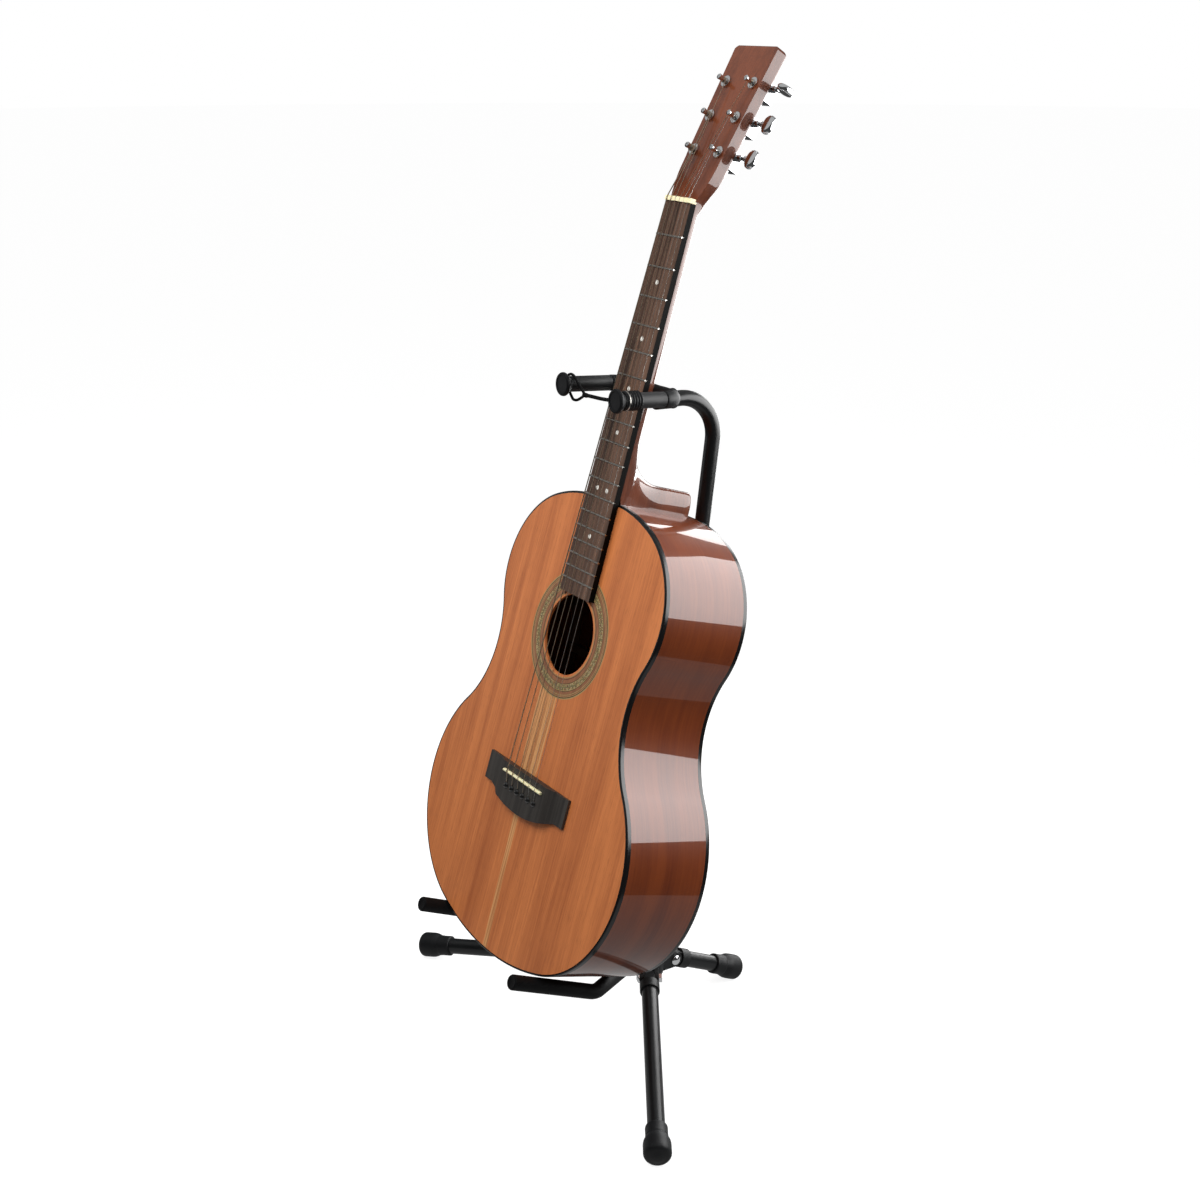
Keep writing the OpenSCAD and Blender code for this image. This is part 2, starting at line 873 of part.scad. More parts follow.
// A rubber foot: a ribbed neck, then a bulb with a rounded end, trimmed flat at the floor
module foot(turn, reach) {
    color("#1c1c1c") difference() {
        leg_frame(turn, reach) translate([0, leg_len(reach), 0]) rotate([-90, 0, 0])
            rotate_extrude() polygon(concat(
                [[0, 6.5], [leg_r, 6.5], [leg_r, -29], [12, -29]],
                [for (z = [-26 : 4 : -18]) each [[12, z - 1], [13, z], [12, z + 1]]],
                [[12, -13], [14.6, -9], [15, -5], [15, 6]],
                [for (a = [15 : 15 : 90]) [6 + 9 * cos(a), 6 + 9 * sin(a)]],
                [[0, 15]]
            ));
        translate([-500, -500, -50]) cube([1000, 1000, 50]);
    }
}

module leg_bolts() {
    color("silver") at_pivots() rotate([0, 90, 0]) {
        translate([0, 0, -lug_out - 4]) cylinder(h = 2 * lug_out + 5, r = bolt_r);
        translate([0, 0, lug_out]) intersection() {
            cylinder(h = 4, r = 6);
            translate([0, 0, -4]) sphere(8);
        }
        translate([0, 0, -lug_out - 4]) cylinder(h = 4, r = 5.8, $fn = 6);
    }
}

// ---------- Stand: mast and clamp ----------

module mast_lower() {
    color("#262626") mast_frame() difference() {
        translate([0, 0, -hub_low]) cylinder(h = mast_top + hub_low, r = mast_r);
        translate([0, 0, -hub_low - past])
            cylinder(h = mast_top + hub_low + 2 * past, r = upper_mast_r + air);
        translate([0, 0, clamp_z]) rotate([-90, 0, 0]) cylinder(h = 40, r = 3.3);
    }
}

// The upper mast: a straight, an arc towards the neck and a short level end
module gooseneck(r) {
    turn = 90 + mast_lean;
    rise = (gooseneck_z - hub_z) / cos(mast_lean);
    tangent = gooseneck_r * tan(turn / 2);
    arc_from = rise - tangent;
    level = mast_y + rise * sin(mast_lean) - tangent - gooseneck_y;
    mast_frame() {
        translate([0, 0, upper_from]) cylinder(h = arc_from - upper_from, r = r);
        translate([0, -gooseneck_r, arc_from]) {
            rotate([0, 90, 0]) rotate(90) rotate_extrude(angle = turn)
                translate([gooseneck_r, 0]) circle(r);
            rotate([turn, 0, 0]) translate([0, gooseneck_r, 0]) cylinder(h = level, r = r);
        }
    }
}

module mast_upper() {
    color("#262626") difference() {
        gooseneck(upper_mast_r);
        gooseneck(upper_mast_r - wall);
    }
}

module height_clamp() {
    color("#202020") mast_frame() difference() {
        union() {
            translate([0, 0, clamp_from]) cylinder(h = clamp_to - clamp_from, r = clamp_r);
            translate([0, 0, clamp_z]) rotate([-90, 0, 0]) cylinder(h = 24, r = 8);
        }
        translate([0, 0, clamp_from - past]) cylinder(h = mast_top - clamp_from + past, r = mast_r);
        translate([0, 0, clamp_from]) cylinder(h = 60, r = upper_mast_r + air);
        translate([0, 0, clamp_z]) rotate([-90, 0, 0]) cylinder(h = 40, r = 3 + fit);
    }
}

module clamp_knob() {
    from = upper_mast_r + air;
    color("#181818") mast_frame() translate([0, 0, clamp_z]) rotate([-90, 0, 0]) {
        translate([0, 0, from]) cylinder(h = knob_reach - from, r = 3);
        translate([0, 0, 25]) cylinder(h = 13, r = 7);
        for (a = [90, 270]) rotate([0, 0, a]) translate([0, -3.5, 27]) cube([20, 7, 9]);
    }
}

// ---------- Stand: cradle ----------

module cradle_bar() {
    color("#262626") sweep(bent_route([
        cradle_tip, cradle_bend, cradle_root,
        flip_x(cradle_root), flip_x(cradle_bend), flip_x(cradle_tip)
    ], cradle_bend_r), cradle_r, 20);
}

// A foam sleeve over one arm and its bend, closed at the tip
module cradle_sleeve() {
    inward = unit(cradle_root - cradle_bend);
    end = cradle_bend + sleeve_inward * inward;
    tip = cradle_tip + 5 * unit(cradle_tip - cradle_bend);
    color("#161616") difference() {
        sweep(bent_route([tip, cradle_bend, end], cradle_bend_r), sleeve_r, 24);
        sweep(
            bent_route([cradle_tip, cradle_bend, end + 4 * inward], cradle_bend_r),
            cradle_r + bore_gap, 20
        );
    }
}

// ---------- Stand: yoke and strap ----------

// A boot that bends round the neck's back and grows thicker towards its middle, on a collar
module yoke_body() {
    route = bent_route([
        yoke_arm_from, yoke_corner, yoke_crotch, flip_x(yoke_corner), flip_x(yoke_arm_from)
    ], yoke_bend_r);
    radii = [for (q = route) boot_crotch_r + (boot_arm_r - boot_crotch_r) * abs(q.x) / yoke_x];
    color("#1c1c1c") difference() {
        union() {
            sweep(route, radii, 24);
            translate([0, joint_y + 64, collar_z]) rotate([-90, 0, 0])
                cylinder(h = 24, r = collar_r);
            for (way = [0, 1]) mirror([way, 0, 0])
                rod(yoke_arm_from - 2 * arm_way, yoke_tip, cradle_r);
        }
        translate([0, gooseneck_y, gooseneck_z]) rotate([-90, 0, 0])
            cylinder(h = 40, r = upper_mast_r);
    }
}

// The frame of the treble arm: origin where its sleeve starts, +Z out along the arm
module arm_frame() {
    translate(yoke_arm_from) rotate([90 - arm_rise, 0, 0]) children();
}

// A rubber sleeve over a yoke arm, flared to a disc at its tip
module yoke_sleeve() {
    color("#161616") arm_frame() rotate_extrude() polygon([
        [cradle_r, 0], [sleeve_r, 0], [sleeve_r, arm_reach - 5.5], [10, arm_reach - 2.5],
        [12.6, arm_reach - 1], [12.6, arm_reach + 2], [9, arm_reach + 3], [0, arm_reach + 3],
        [0, arm_reach], [cradle_r, arm_reach]
    ]);
}

module strap_cuff() {
    color("#141414") arm_frame() translate([0, 0, arm_reach - cuff_back]) rotate_extrude() difference() {
        union() {
            translate([sleeve_r, 0]) square([1, cuff_l]);
            for (z = [2 : 3.4 : cuff_l - 1]) translate([sleeve_r + 0.8, z]) circle(1.2);
        }
        translate([0, -5]) square([sleeve_r, 60]);
    }
}

// An elastic cord from the cuff, across the neck's front, ending in a loop round the far arm
module strap() {
    far_y = strap_y - 1;
    far = [-yoke_x, far_y, yoke_tip.z - (far_y - yoke_tip.y) * tan(arm_rise)];
    ring = sleeve_r + strap_r + 0.2;
    apex = [-yoke_x + 25, far_y, strap_z - 3];
    near = [yoke_x - sleeve_r - 2.2, far_y, strap_z];
    aim = atan2(apex.z - far.z, apex.x - far.x);
    open = acos(ring / norm(apex - far));
    color("#141414") {
        translate(far) rotate([90 - arm_rise, 0, 0]) rotate_extrude() translate([ring, 0])
            circle(strap_r);
        for (a = [aim - open, aim + open])
            rod(far + ring * [cos(a), 0, sin(a)], apex, strap_r - 0.2);
        rod(apex, near, strap_r);
        translate(apex) sphere(strap_r + 0.4);
    }
}

soundboard();
rosette();
back_plate();
side_bass();
side_treble();
bindings();
linings();
neck_block();
tail_block();
top_braces();
back_braces();
bridge_plate();
bridge();
saddle();
bridge_pins();
strings();
nut();
fretboard();
frets();
position_dots();
neck();
truss_rod();
tuner_housings();
tuner_bushings();
tuner_screws();
tuner_button(1);  // tuner_button_1
tuner_button(2);  // tuner_button_2
tuner_button(3);  // tuner_button_3
tuner_button(4);  // tuner_button_4
tuner_button(5);  // tuner_button_5
tuner_button(6);  // tuner_button_6
tuner_post(1);  // tuner_post_1
tuner_post(2);  // tuner_post_2
tuner_post(3);  // tuner_post_3
tuner_post(4);  // tuner_post_4
tuner_post(5);  // tuner_post_5
tuner_post(6);  // tuner_post_6
hub();
mast_lower();
mast_upper();
height_clamp();
clamp_knob();
leg(-front_turn, front_reach);  // leg_left
leg(front_turn, front_reach);  // leg_right
leg(0, rear_reach);  // leg_rear
leg_knuckle(-front_turn, front_reach);  // leg_knuckle_left
leg_knuckle(front_turn, front_reach);  // leg_knuckle_right
leg_knuckle(0, rear_reach);  // leg_knuckle_rear
foot(-front_turn, front_reach);  // foot_left
foot(front_turn, front_reach);  // foot_right
foot(0, rear_reach);  // foot_rear
leg_bolts();
cradle_bar();
mirror([1, 0, 0]) cradle_sleeve();  // cradle_sleeve_left
cradle_sleeve();  // cradle_sleeve_right
yoke_body();
mirror([1, 0, 0]) yoke_sleeve();  // yoke_sleeve_left
yoke_sleeve();  // yoke_sleeve_right
strap_cuff();
strap();
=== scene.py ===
"""Looks of a small-bodied acoustic guitar in a tripod stand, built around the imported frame.

Shapes are worked out in millimetres, in the frame of the thing they belong to: the guitar's
(x across, y into the body, z along the neck), the headstock's, a leg's or the mast's.
finish_piece() turns them into metres and puts them in place."""

import json
import random
from math import acos, atan, atan2, ceil, cos, degrees, hypot, pi, radians, sin, sqrt, tan

import bmesh
import bpy
from mathutils import Matrix, Vector
from mathutils.geometry import tessellate_polygon


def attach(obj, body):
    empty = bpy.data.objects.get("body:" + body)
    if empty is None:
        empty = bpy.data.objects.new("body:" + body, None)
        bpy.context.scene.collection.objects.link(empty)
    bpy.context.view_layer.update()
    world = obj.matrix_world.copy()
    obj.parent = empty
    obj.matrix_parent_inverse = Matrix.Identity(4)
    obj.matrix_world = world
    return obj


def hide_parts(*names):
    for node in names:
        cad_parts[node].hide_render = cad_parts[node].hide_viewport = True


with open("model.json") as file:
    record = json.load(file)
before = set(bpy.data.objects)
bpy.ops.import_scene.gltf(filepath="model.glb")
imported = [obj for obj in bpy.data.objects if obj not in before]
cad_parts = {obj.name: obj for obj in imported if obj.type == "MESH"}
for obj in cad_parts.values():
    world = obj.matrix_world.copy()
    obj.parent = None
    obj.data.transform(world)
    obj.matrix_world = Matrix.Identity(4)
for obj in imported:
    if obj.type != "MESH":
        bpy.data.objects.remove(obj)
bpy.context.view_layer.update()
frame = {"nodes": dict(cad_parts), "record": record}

MM = 0.001
BODY_OF = {n: b for b, nodes in frame["record"]["behaviour"]["bodies"].items() for n in nodes}

# ---------------------------------------------------------------- sizes, in millimetres

LEAN = 17.81
HEAD_ANGLE = 13.7
MAST_LEAN = 7.1
JOINT = Vector((0, -7.17, 636))
SCALE = 630
NUT_U = SCALE / 2
SADDLE_U = -SCALE / 2 - 2.5
HOLE_U = -150.3
BODY_DEPTH = 109
BINDING_H = 5.5
RIB_T = 2.2
BOUTS = [(1, 178.8, 22.4), (1, 99.3, 92.1), (-1, 116.5, 66.7), (1, 138.1, 112.7), (1, 310.4, 19.5)]
SHOULDER_FLAT = 19.6
HEAD_T = 15
HEAD_L = 179
POST_Z = (58.5, 97.5, 136.5)
POST_X = (21, 21.7, 22.6)
BUTTON_X = 50
STRING_R = (0.66, 0.52, 0.4, 0.3, 0.21, 0.16)
STAND_Y = JOINT.y + 62
MAST_Y = JOINT.y + 63.5
HUB_Z = 66
PIVOT = Vector((0, 32, 58))
FOOT_Z = 15
REACH = {"rear": 121, "right": 293, "left": 293}
TURN = {"rear": 0, "right": 122.9, "left": -122.9}

# ---------------------------------------------------------------- frames


def turned(angle, axis):
    return Matrix.Rotation(radians(angle), 4, axis)


GUITAR = Matrix.Translation(JOINT) @ turned(-LEAN, "X")
HEAD = GUITAR @ Matrix.Translation((0, -2.5, NUT_U)) @ turned(-HEAD_ANGLE, "X")
MAST = Matrix.Translation((0, MAST_Y, HUB_Z)) @ turned(-MAST_LEAN, "X")
ROW = Matrix.Identity(4)


def leg_slope(name):
    return degrees(atan((PIVOT.z - FOOT_Z) / (REACH[name] - PIVOT.y)))


def leg_length(name):
    return hypot(PIVOT.z - FOOT_Z, REACH[name] - PIVOT.y)


def leg_frame(name):
    at_hub = Matrix.Translation((0, STAND_Y, 0)) @ turned(-TURN[name], "Z")
    return at_hub @ Matrix.Translation(PIVOT) @ turned(-leg_slope(name), "X")


def tuner_frame(machine):
    """At a post's foot on the headstock's face, +X towards its button."""
    k = (machine - 1) % 3
    side = 1 if machine <= 3 else -1
    return HEAD @ Matrix.Translation((side * POST_X[k], 0, POST_Z[k])), side


# ---------------------------------------------------------------- meshes


def lathe(profile, steps=48):
    """A solid turned about Z from (radius, height) points."""
    verts, rings = [], []
    for r, z in profile:
        if r < 1e-6:
            rings.append([len(verts)])
            verts.append((0, 0, z))
            continue
        rings.append(list(range(len(verts), len(verts) + steps)))
        for k in range(steps):
            a = 2 * pi * k / steps
            verts.append((r * cos(a), r * sin(a), z))
    faces = []
    for low, high in zip(rings, rings[1:]):
        for k in range(steps):
            n = (k + 1) % steps
            quad = [low[k % len(low)], low[n % len(low)], high[n % len(high)], high[k % len(high)]]
            face = list(dict.fromkeys(quad))
            if len(face) > 2:
                faces.append(face)
    return verts, faces


def loft(rings, caps=True):
    """A skin over closed rings that have the same number of points."""
    n = len(rings[0])
    verts = [p for ring in rings for p in ring]
    faces = []
    for i in range(len(rings) - 1):
        for k in range(n):
            m = (k + 1) % n
            faces.append((i * n + k, i * n + m, (i + 1) * n + m, (i + 1) * n + k))
    if caps:
        faces.append(tuple(range(n - 1, -1, -1)))
        faces.append(tuple(range((len(rings) - 1) * n, len(rings) * n)))
    return verts, faces


def bent(points, bend):
    """The route through these points, with an arc of that radius at each inner one."""
    points = [Vector(p) for p in points]
    path = [points[0]]
    for a, b, c in zip(points, points[1:], points[2:]):
        d0, d1 = (b - a).normalized(), (c - b).normalized()
        angle = d0.angle(d1)
        centre = b + (d1 - d0).normalized() * bend / cos(angle / 2)
        start = b - d0 * bend * tan(angle / 2)
        x = (start - centre).normalized()
        steps = max(3, ceil(degrees(angle) / 5))
        for k in range(steps + 1):
            t = angle * k / steps
            path.append(centre + bend * (cos(t) * x + sin(t) * d0))
    path.append(points[-1])
    return path


def sweep(path, profile=None, r=None, sides=28):
    """A round bar along a path. The profile is (distance, radius) points, and a negative
    distance is counted from the far end."""
    path = [Vector(p) for p in path]
    at = [0.0]
    for a, b in zip(path, path[1:]):
        at.append(at[-1] + (b - a).length)
    total = at[-1]
    profile = profile or [(0, r), (total, r)]
    profile = [(s if s >= 0 else total + s, radius) for s, radius in profile]
    stations = [profile[0]]
    for (s0, r0), (s1, r1) in zip(profile, profile[1:]):
        for s in at:
            if s0 + 0.01 < s < s1 - 0.01:
                stations.append((s, r0 + (r1 - r0) * (s - s0) / (s1 - s0)))
        stations.append((s1, r1))

    def place(s):
        i = max(0, min(len(path) - 2, next((k for k, x in enumerate(at) if x > s), len(at)) - 1))
        t = (s - at[i]) / (at[i + 1] - at[i])
        here = (path[i + 1] - path[i]).normalized()
        before = (path[i] - path[i - 1]).normalized() if i and t < 1e-6 else here
        return path[i].lerp(path[i + 1], t), (here + before).normalized()

    rings, x = [], None
    for s, radius in stations:
        p, d = place(s)
        x = d.orthogonal() if x is None else x
        x = (x - d * x.dot(d)).normalized()
        y = d.cross(x)
        turns = [2 * pi * k / sides for k in range(sides)]
        rings.append([p + radius * (cos(a) * x + sin(a) * y) for a in turns])
    return loft(rings)


def mirrored(points):
    """The same points on the other side of the object's middle."""
    return [Vector((-p.x, p.y, p.z)) for p in points]


def joined(*shapes):
    verts, faces = [], []
    for v, f in shapes:
        faces += [[i + len(verts) for i in face] for face in f]
        verts += [Vector(p) for p in v]
    return verts, faces


def moved(matrix, shape):
    return [matrix @ Vector(p) for p in shape[0]], shape[1]


def add_object(name, data):
    made = bpy.data.objects.new(name, data)
    bpy.context.scene.collection.objects.link(made)
    return made


def in_metres(where):
    """The same placement, with its shift turned from millimetres into metres."""
    where = where.copy()
    where.translation = where.translation * MM
    return where


def smoothed(mesh, sharp):
    """Round surfaces shade smoothly, and edges over the given angle stay sharp."""
    bm = bmesh.new()
    bm.from_mesh(mesh)
    bmesh.ops.remove_doubles(bm, verts=bm.verts, dist=1e-6)
    bmesh.ops.recalc_face_normals(bm, faces=bm.faces)
    for face in bm.faces:
        face.smooth = True
    for edge in bm.edges:
        edge.smooth = len(edge.link_faces) == 2 and edge.calc_face_angle(0) < radians(sharp)
    bm.to_mesh(mesh)
    bm.free()


def finish_piece(name, shape, where, materials, node, stands_for=(), bevel=0, sharp=35):
    """Makes a piece in metres, placed in its frame, riding on the body of a CAD node."""
    mesh = bpy.data.meshes.new(name)
    mesh.from_pydata([Vector(p) * MM for p in shape[0]], [], [list(f) for f in shape[1]])
    smoothed(mesh, sharp)
    piece = add_object(name, mesh)
    grain(piece)
    mesh.transform(in_metres(where))
    for material in materials if isinstance(materials, list) else [materials]:
        mesh.materials.append(material)
    if bevel:
        rounding = piece.modifiers.new("edges", "BEVEL")
        rounding.width = bevel * MM
        rounding.segments = 3
        rounding.limit_method = "ANGLE"
        rounding.angle_limit = radians(sharp)
        rounding.harden_normals = True
    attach(piece, BODY_OF[node])
    if stands_for:
        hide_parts(*stands_for)
    return piece


def grain(piece, rule=lambda point: point):
    """Stores where each point lies in the wood it was cut from: across, deep and along."""
    mesh = piece.data
    stored = mesh.attributes.get("grain")
    if stored:
        points = [v.vector.copy() for v in stored.data]
    else:
        points = [v.co.copy() for v in mesh.vertices]
    stored = stored or mesh.attributes.new("grain", "FLOAT_VECTOR", "POINT")
    for i, point in enumerate(points):
        stored.data[i].vector = rule(point)


def refined(node, materials, where=ROW, bevel=0.3, sharp=35):
    """A CAD piece as a clean mesh with rounded edges and smooth shading, in its own frame."""
    source = frame["nodes"][node].data
    back = in_metres(where).inverted()
    verts = [(back @ v.co) / MM for v in source.vertices]
    faces = [tuple(p.vertices) for p in source.polygons]
    mesh = bpy.data.meshes.new("clean")
    mesh.from_pydata(verts, [], faces)
    bm = bmesh.new()
    bm.from_mesh(mesh)
    bmesh.ops.remove_doubles(bm, verts=bm.verts, dist=0.002)
    flat = radians(0.5)
    bmesh.ops.dissolve_limit(bm, angle_limit=flat, verts=bm.verts, edges=bm.edges)
    bm.verts.index_update()
    shape = [v.co.copy() for v in bm.verts], [[v.index for v in f.verts] for f in bm.faces]
    bm.free()
    bpy.data.meshes.remove(mesh)
    return finish_piece(node + "_piece", shape, where, materials, node, [node], bevel, sharp)


# ---------------------------------------------------------------- materials


class Paint:
    """A node material: each method adds a node and returns its output socket."""

    def __init__(self, name, color, roughness, **shader):
        self.material = bpy.data.materials.new(name)
        self.material.use_nodes = True
        self.nodes = self.material.node_tree.nodes
        self.links = self.material.node_tree.links
        self.shader = self.nodes["Principled BSDF"]
        self.set(self.shader, {"Base Color": color, "Roughness": roughness})
        self.set(self.shader, {k.replace("_", " "): v for k, v in shader.items()})

    def set(self, node, values):
        for key, value in values.items():
            socket = node.inputs[key]
            if isinstance(value, bpy.types.NodeSocket):
                self.links.new(value, socket)
            elif isinstance(value, tuple) and len(value) == 3 and socket.type == "RGBA":
                socket.default_value = (*value, 1)
            else:
                socket.default_value = value

    def place(self, scale=(1, 1, 1), wood=False, turn=(0, 0, 0), shift=(0, 0, 0)):
        """Object coordinates, or the wood's own, scaled per metre."""
        if wood:
            source = self.nodes.new("ShaderNodeAttribute")
            source.attribute_name = "grain"
            vector = source.outputs["Vector"]
        else:
            vector = self.nodes.new("ShaderNodeTexCoord").outputs["Object"]
        mapping = self.nodes.new("ShaderNodeMapping")
        values = {"Vector": vector, "Scale": scale, "Rotation": turn, "Location": shift}
        self.set(mapping, values)
        return mapping.outputs["Vector"]

    def noise(self, vector, scale=1, detail=3, roughness=0.5, distortion=0):
        node = self.nodes.new("ShaderNodeTexNoise")
        values = {"Vector": vector, "Scale": scale, "Detail": detail, "Roughness": roughness}
        self.set(node, {**values, "Distortion": distortion})
        return node.outputs["Fac"]

    def cells(self, vector, scale=1):
        node = self.nodes.new("ShaderNodeTexVoronoi")
        self.set(node, {"Vector": vector, "Scale": scale})
        return node.outputs["Distance"]

    def math(self, operation, a, b=0.0, c=0.0):
        node = self.nodes.new("ShaderNodeMath")
        node.operation = operation
        for i, value in enumerate((a, b, c)):
            if isinstance(value, bpy.types.NodeSocket):
                self.links.new(value, node.inputs[i])
            else:
                node.inputs[i].default_value = value
        return node.outputs[0]

    def ramp(self, value, *stops):
        node = self.nodes.new("ShaderNodeValToRGB")
        self.links.new(value, node.inputs["Fac"])
        while len(node.color_ramp.elements) < len(stops):
            node.color_ramp.elements.new(0.5)
        for element, (at, color) in zip(node.color_ramp.elements, stops):
            element.position = at
            element.color = (*color, 1) if isinstance(color, tuple) else (color, color, color, 1)
        return node.outputs["Color"]

    def mix(self, share, a, b, blend="MIX"):
        node = self.nodes.new("ShaderNodeMix")
        node.data_type = "RGBA"
        node.blend_type = blend
        for i, value in ((0, share), (6, a), (7, b)):
            if isinstance(value, bpy.types.NodeSocket):
                self.links.new(value, node.inputs[i])
            elif isinstance(value, tuple):
                node.inputs[i].default_value = (*value, 1)
            else:
                node.inputs[i].default_value = value
        return node.outputs[2]

    def span(self, value, start, end, first=0.0, last=1.0, smooth=True):
        """Runs from first to last while the value goes from start to end."""
        node = self.nodes.new("ShaderNodeMapRange")
        if smooth:
            node.interpolation_type = "SMOOTHSTEP"
        limits = {"From Min": start, "From Max": end, "To Min": first, "To Max": last}
        self.set(node, {"Value": value, **limits})
        return node.outputs[0]

    def part(self, vector, axis):
        node = self.nodes.new("ShaderNodeSeparateXYZ")
        self.links.new(vector, node.inputs[0])
        return node.outputs[axis]

    def bump(self, height, distance, strength=1.0):
        node = self.nodes.new("ShaderNodeBump")
        self.set(node, {"Height": height, "Strength": strength, "Distance": distance * MM})
        self.links.new(node.outputs[0], self.shader.inputs["Normal"])
        return node.outputs[0]

    def roughness(self, value):
        self.links.new(value, self.shader.inputs["Roughness"])

    def color(self, value):
        self.links.new(value, self.shader.inputs["Base Color"])


def srgb(r, g, b):
    """A colour given as display values from 0 to 255."""

    def linear(c):
        return c / 255 / 12.92 if c < 10 else ((c / 255 + 0.055) / 1.055) ** 2.4

    return linear(r), linear(g), linear(b)


def mahogany(name, light, dark, roughness, coat=0.0, pores=0.5, figure=0.5, sapwood=False):
    """Straight-grained mahogany: broad bands, fine fibres and short dark pores along the grain."""
    shine = 0.15 if coat else 0.4
    p = Paint(
        name, light, roughness, Coat_Weight=coat, Coat_Roughness=0.03, Specular_IOR_Level=shine
    )
    bands = p.noise(p.place((38, 38, 1.6), wood=True), 1, 3, 0.55, 0.4)
    fibres = p.noise(p.place((420, 420, 9), wood=True), 1, 4, 0.6)
    ribbon = p.noise(p.place((55, 55, 22), wood=True), 1, 2, 0.5)
    tone = p.math("MULTIPLY_ADD", fibres, 0.45, p.math("MULTIPLY", bands, 0.75))
    tone = p.math("MULTIPLY_ADD", ribbon, 0.25 * figure, tone)
    color = p.ramp(tone, (0.42, dark), (0.82, light))
    dashes = p.noise(p.place((1500, 1500, 75), wood=True), 1, 1, 0.4)
    pore = p.ramp(dashes, (0.6, 0.0), (0.68, 1.0))
    color = p.mix(p.math("MULTIPLY", pore, 0.45 * pores), color, tuple(c * 0.3 for c in dark))
    if sapwood:
        color = sapwood_wedge(p, color)
    p.color(color)
    p.bump(p.math("MULTIPLY_ADD", pore, -0.6, fibres), 0.03, 0.25 if coat else 0.6)
    return p.material


def sapwood_wedge(p, color):
    """A pale wedge of sapwood down the middle of the top, drawn out to a line below the bridge."""
    place = p.place(wood=True)
    x, z = p.part(place, 0), p.part(place, 2)
    wander = p.math("MULTIPLY_ADD", p.noise(p.place((60, 60, 7), wood=True)), 0.006, -0.003)
    x = p.math("ADD", x, wander)
    down = p.math("MULTIPLY", z, -1)
    half_width = p.span(down, 0.290, 0.365, 0.0155, 0.0032)
    centre = p.span(down, 0.36, 0.5, -0.0085, -0.003, smooth=False)
    off = p.math("ABSOLUTE", p.math("SUBTRACT", x, centre))
    inside = p.span(off, p.math("ADD", half_width, 0.0016), half_width)
    below = p.math("GREATER_THAN", down, 0.2)
    share = p.math("MULTIPLY", p.math("MULTIPLY", inside, below), 0.8)
    lines = p.noise(p.place((520, 520, 5), wood=True), 1, 2, 0.5)
    line, light, lightest = srgb(160, 105, 62), srgb(206, 152, 98), srgb(214, 164, 108)
    pale = p.ramp(lines, (0.4, line), (0.5, light), (0.6, lightest))
    return p.mix(share, color, pale)


def plain_wood(name, light, dark, roughness=0.6, scale=1.0, coat=0.0):
    p = Paint(name, light, roughness, Coat_Weight=coat, Coat_Roughness=0.1)
    lines = p.noise(p.place((300 * scale, 300 * scale, 7), wood=True), 1, 4, 0.6, 0.3)
    bands = p.noise(p.place((70, 70, 3), wood=True), 1, 2, 0.5)
    tone = p.math("MULTIPLY_ADD", lines, 0.6, p.math("MULTIPLY", bands, 0.4))
    p.color(p.ramp(tone, (0.35, dark), (0.65, light)))
    p.bump(lines, 0.04, 0.5)
    return p.material


def coloured(name, color, roughness, spread=0.1, grain_size=900, depth=0.02, **shader):
    """Plastic, rubber, bone or paint: an even colour with a fine tooth and worn patches."""
    p = Paint(name, color, roughness, **shader)
    tooth = p.noise(p.place((grain_size,) * 3), 1, 3, 0.6)
    patches = p.noise(p.place((35, 35, 35)), 1, 3, 0.5)
    p.roughness(p.math("MULTIPLY_ADD", p.math("SUBTRACT", patches, 0.5), spread, roughness))
    p.color(p.mix(patches, tuple(c * 0.82 for c in color), tuple(min(1, c * 1.15) for c in color)))
    p.bump(tooth, depth, 0.5)
    return p.material


def metal(name, color, roughness, brush=0.0, **shader):
    p = Paint(name, color, roughness, Metallic=1.0, **shader)
    smears = p.noise(p.place((90, 90, 90)), 1, 4, 0.6)
    p.roughness(p.math("MULTIPLY_ADD", smears, 0.12, roughness - 0.04))
    if brush:
        p.bump(p.noise(p.place((2500, 2500, 60)), 1, 2, 0.5), 0.01, brush)
    return p.material


TOP_WOOD = mahogany("top_mahogany", srgb(204, 122, 68), srgb(150, 78, 40), 0.42, sapwood=True)
SIDE_WOOD = mahogany(
    "side_mahogany", srgb(112, 50, 17), srgb(78, 28, 7), 0.4, coat=1.0, pores=0.35, figure=1.0
)
NECK_WOOD = mahogany(
    "neck_mahogany", srgb(108, 55, 31), srgb(60, 25, 12), 0.4, coat=1.0, pores=0.3, figure=0.7
)
INNER_WOOD = plain_wood("cedar", srgb(112, 82, 56), srgb(84, 58, 36))
RED_WOOD = plain_wood("rosette_wood", srgb(150, 100, 68), srgb(116, 74, 48), 0.45)
ROSEWOOD = plain_wood("rosewood", srgb(108, 80, 64), srgb(44, 30, 24), 0.5, 0.8)
EBONIZED = plain_wood("ebonized_bridge", srgb(62, 58, 54), srgb(36, 33, 31), 0.5)
BLACK_EDGE = coloured("black_binding", srgb(14, 13, 13), 0.2, 0.06)
BLACK_SIDE = coloured("fretboard_side", srgb(10, 9, 8), 0.6, 0.1, Specular_IOR_Level=0.08)
CREAM = coloured("cream_line", srgb(158, 134, 86), 0.45)
MOSAIC_GREEN = coloured("mosaic_green", srgb(104, 98, 62), 0.45)
MOSAIC_BROWN = coloured("mosaic_brown", srgb(98, 66, 46), 0.45)
MOSAIC_WHITE = coloured("mosaic_white", srgb(166, 148, 112), 0.45)
DARK_LINE = coloured("dark_line", srgb(66, 42, 28), 0.45)
BONE = coloured("bone", srgb(244, 228, 184), 0.4, Subsurface_Weight=0.1)
PEARL = coloured("pearl_dot", srgb(226, 224, 216), 0.25, Coat_Weight=0.5)
PIN_BLACK = coloured("pin_black", srgb(20, 20, 20), 0.12, 0.05, Coat_Weight=0.8)
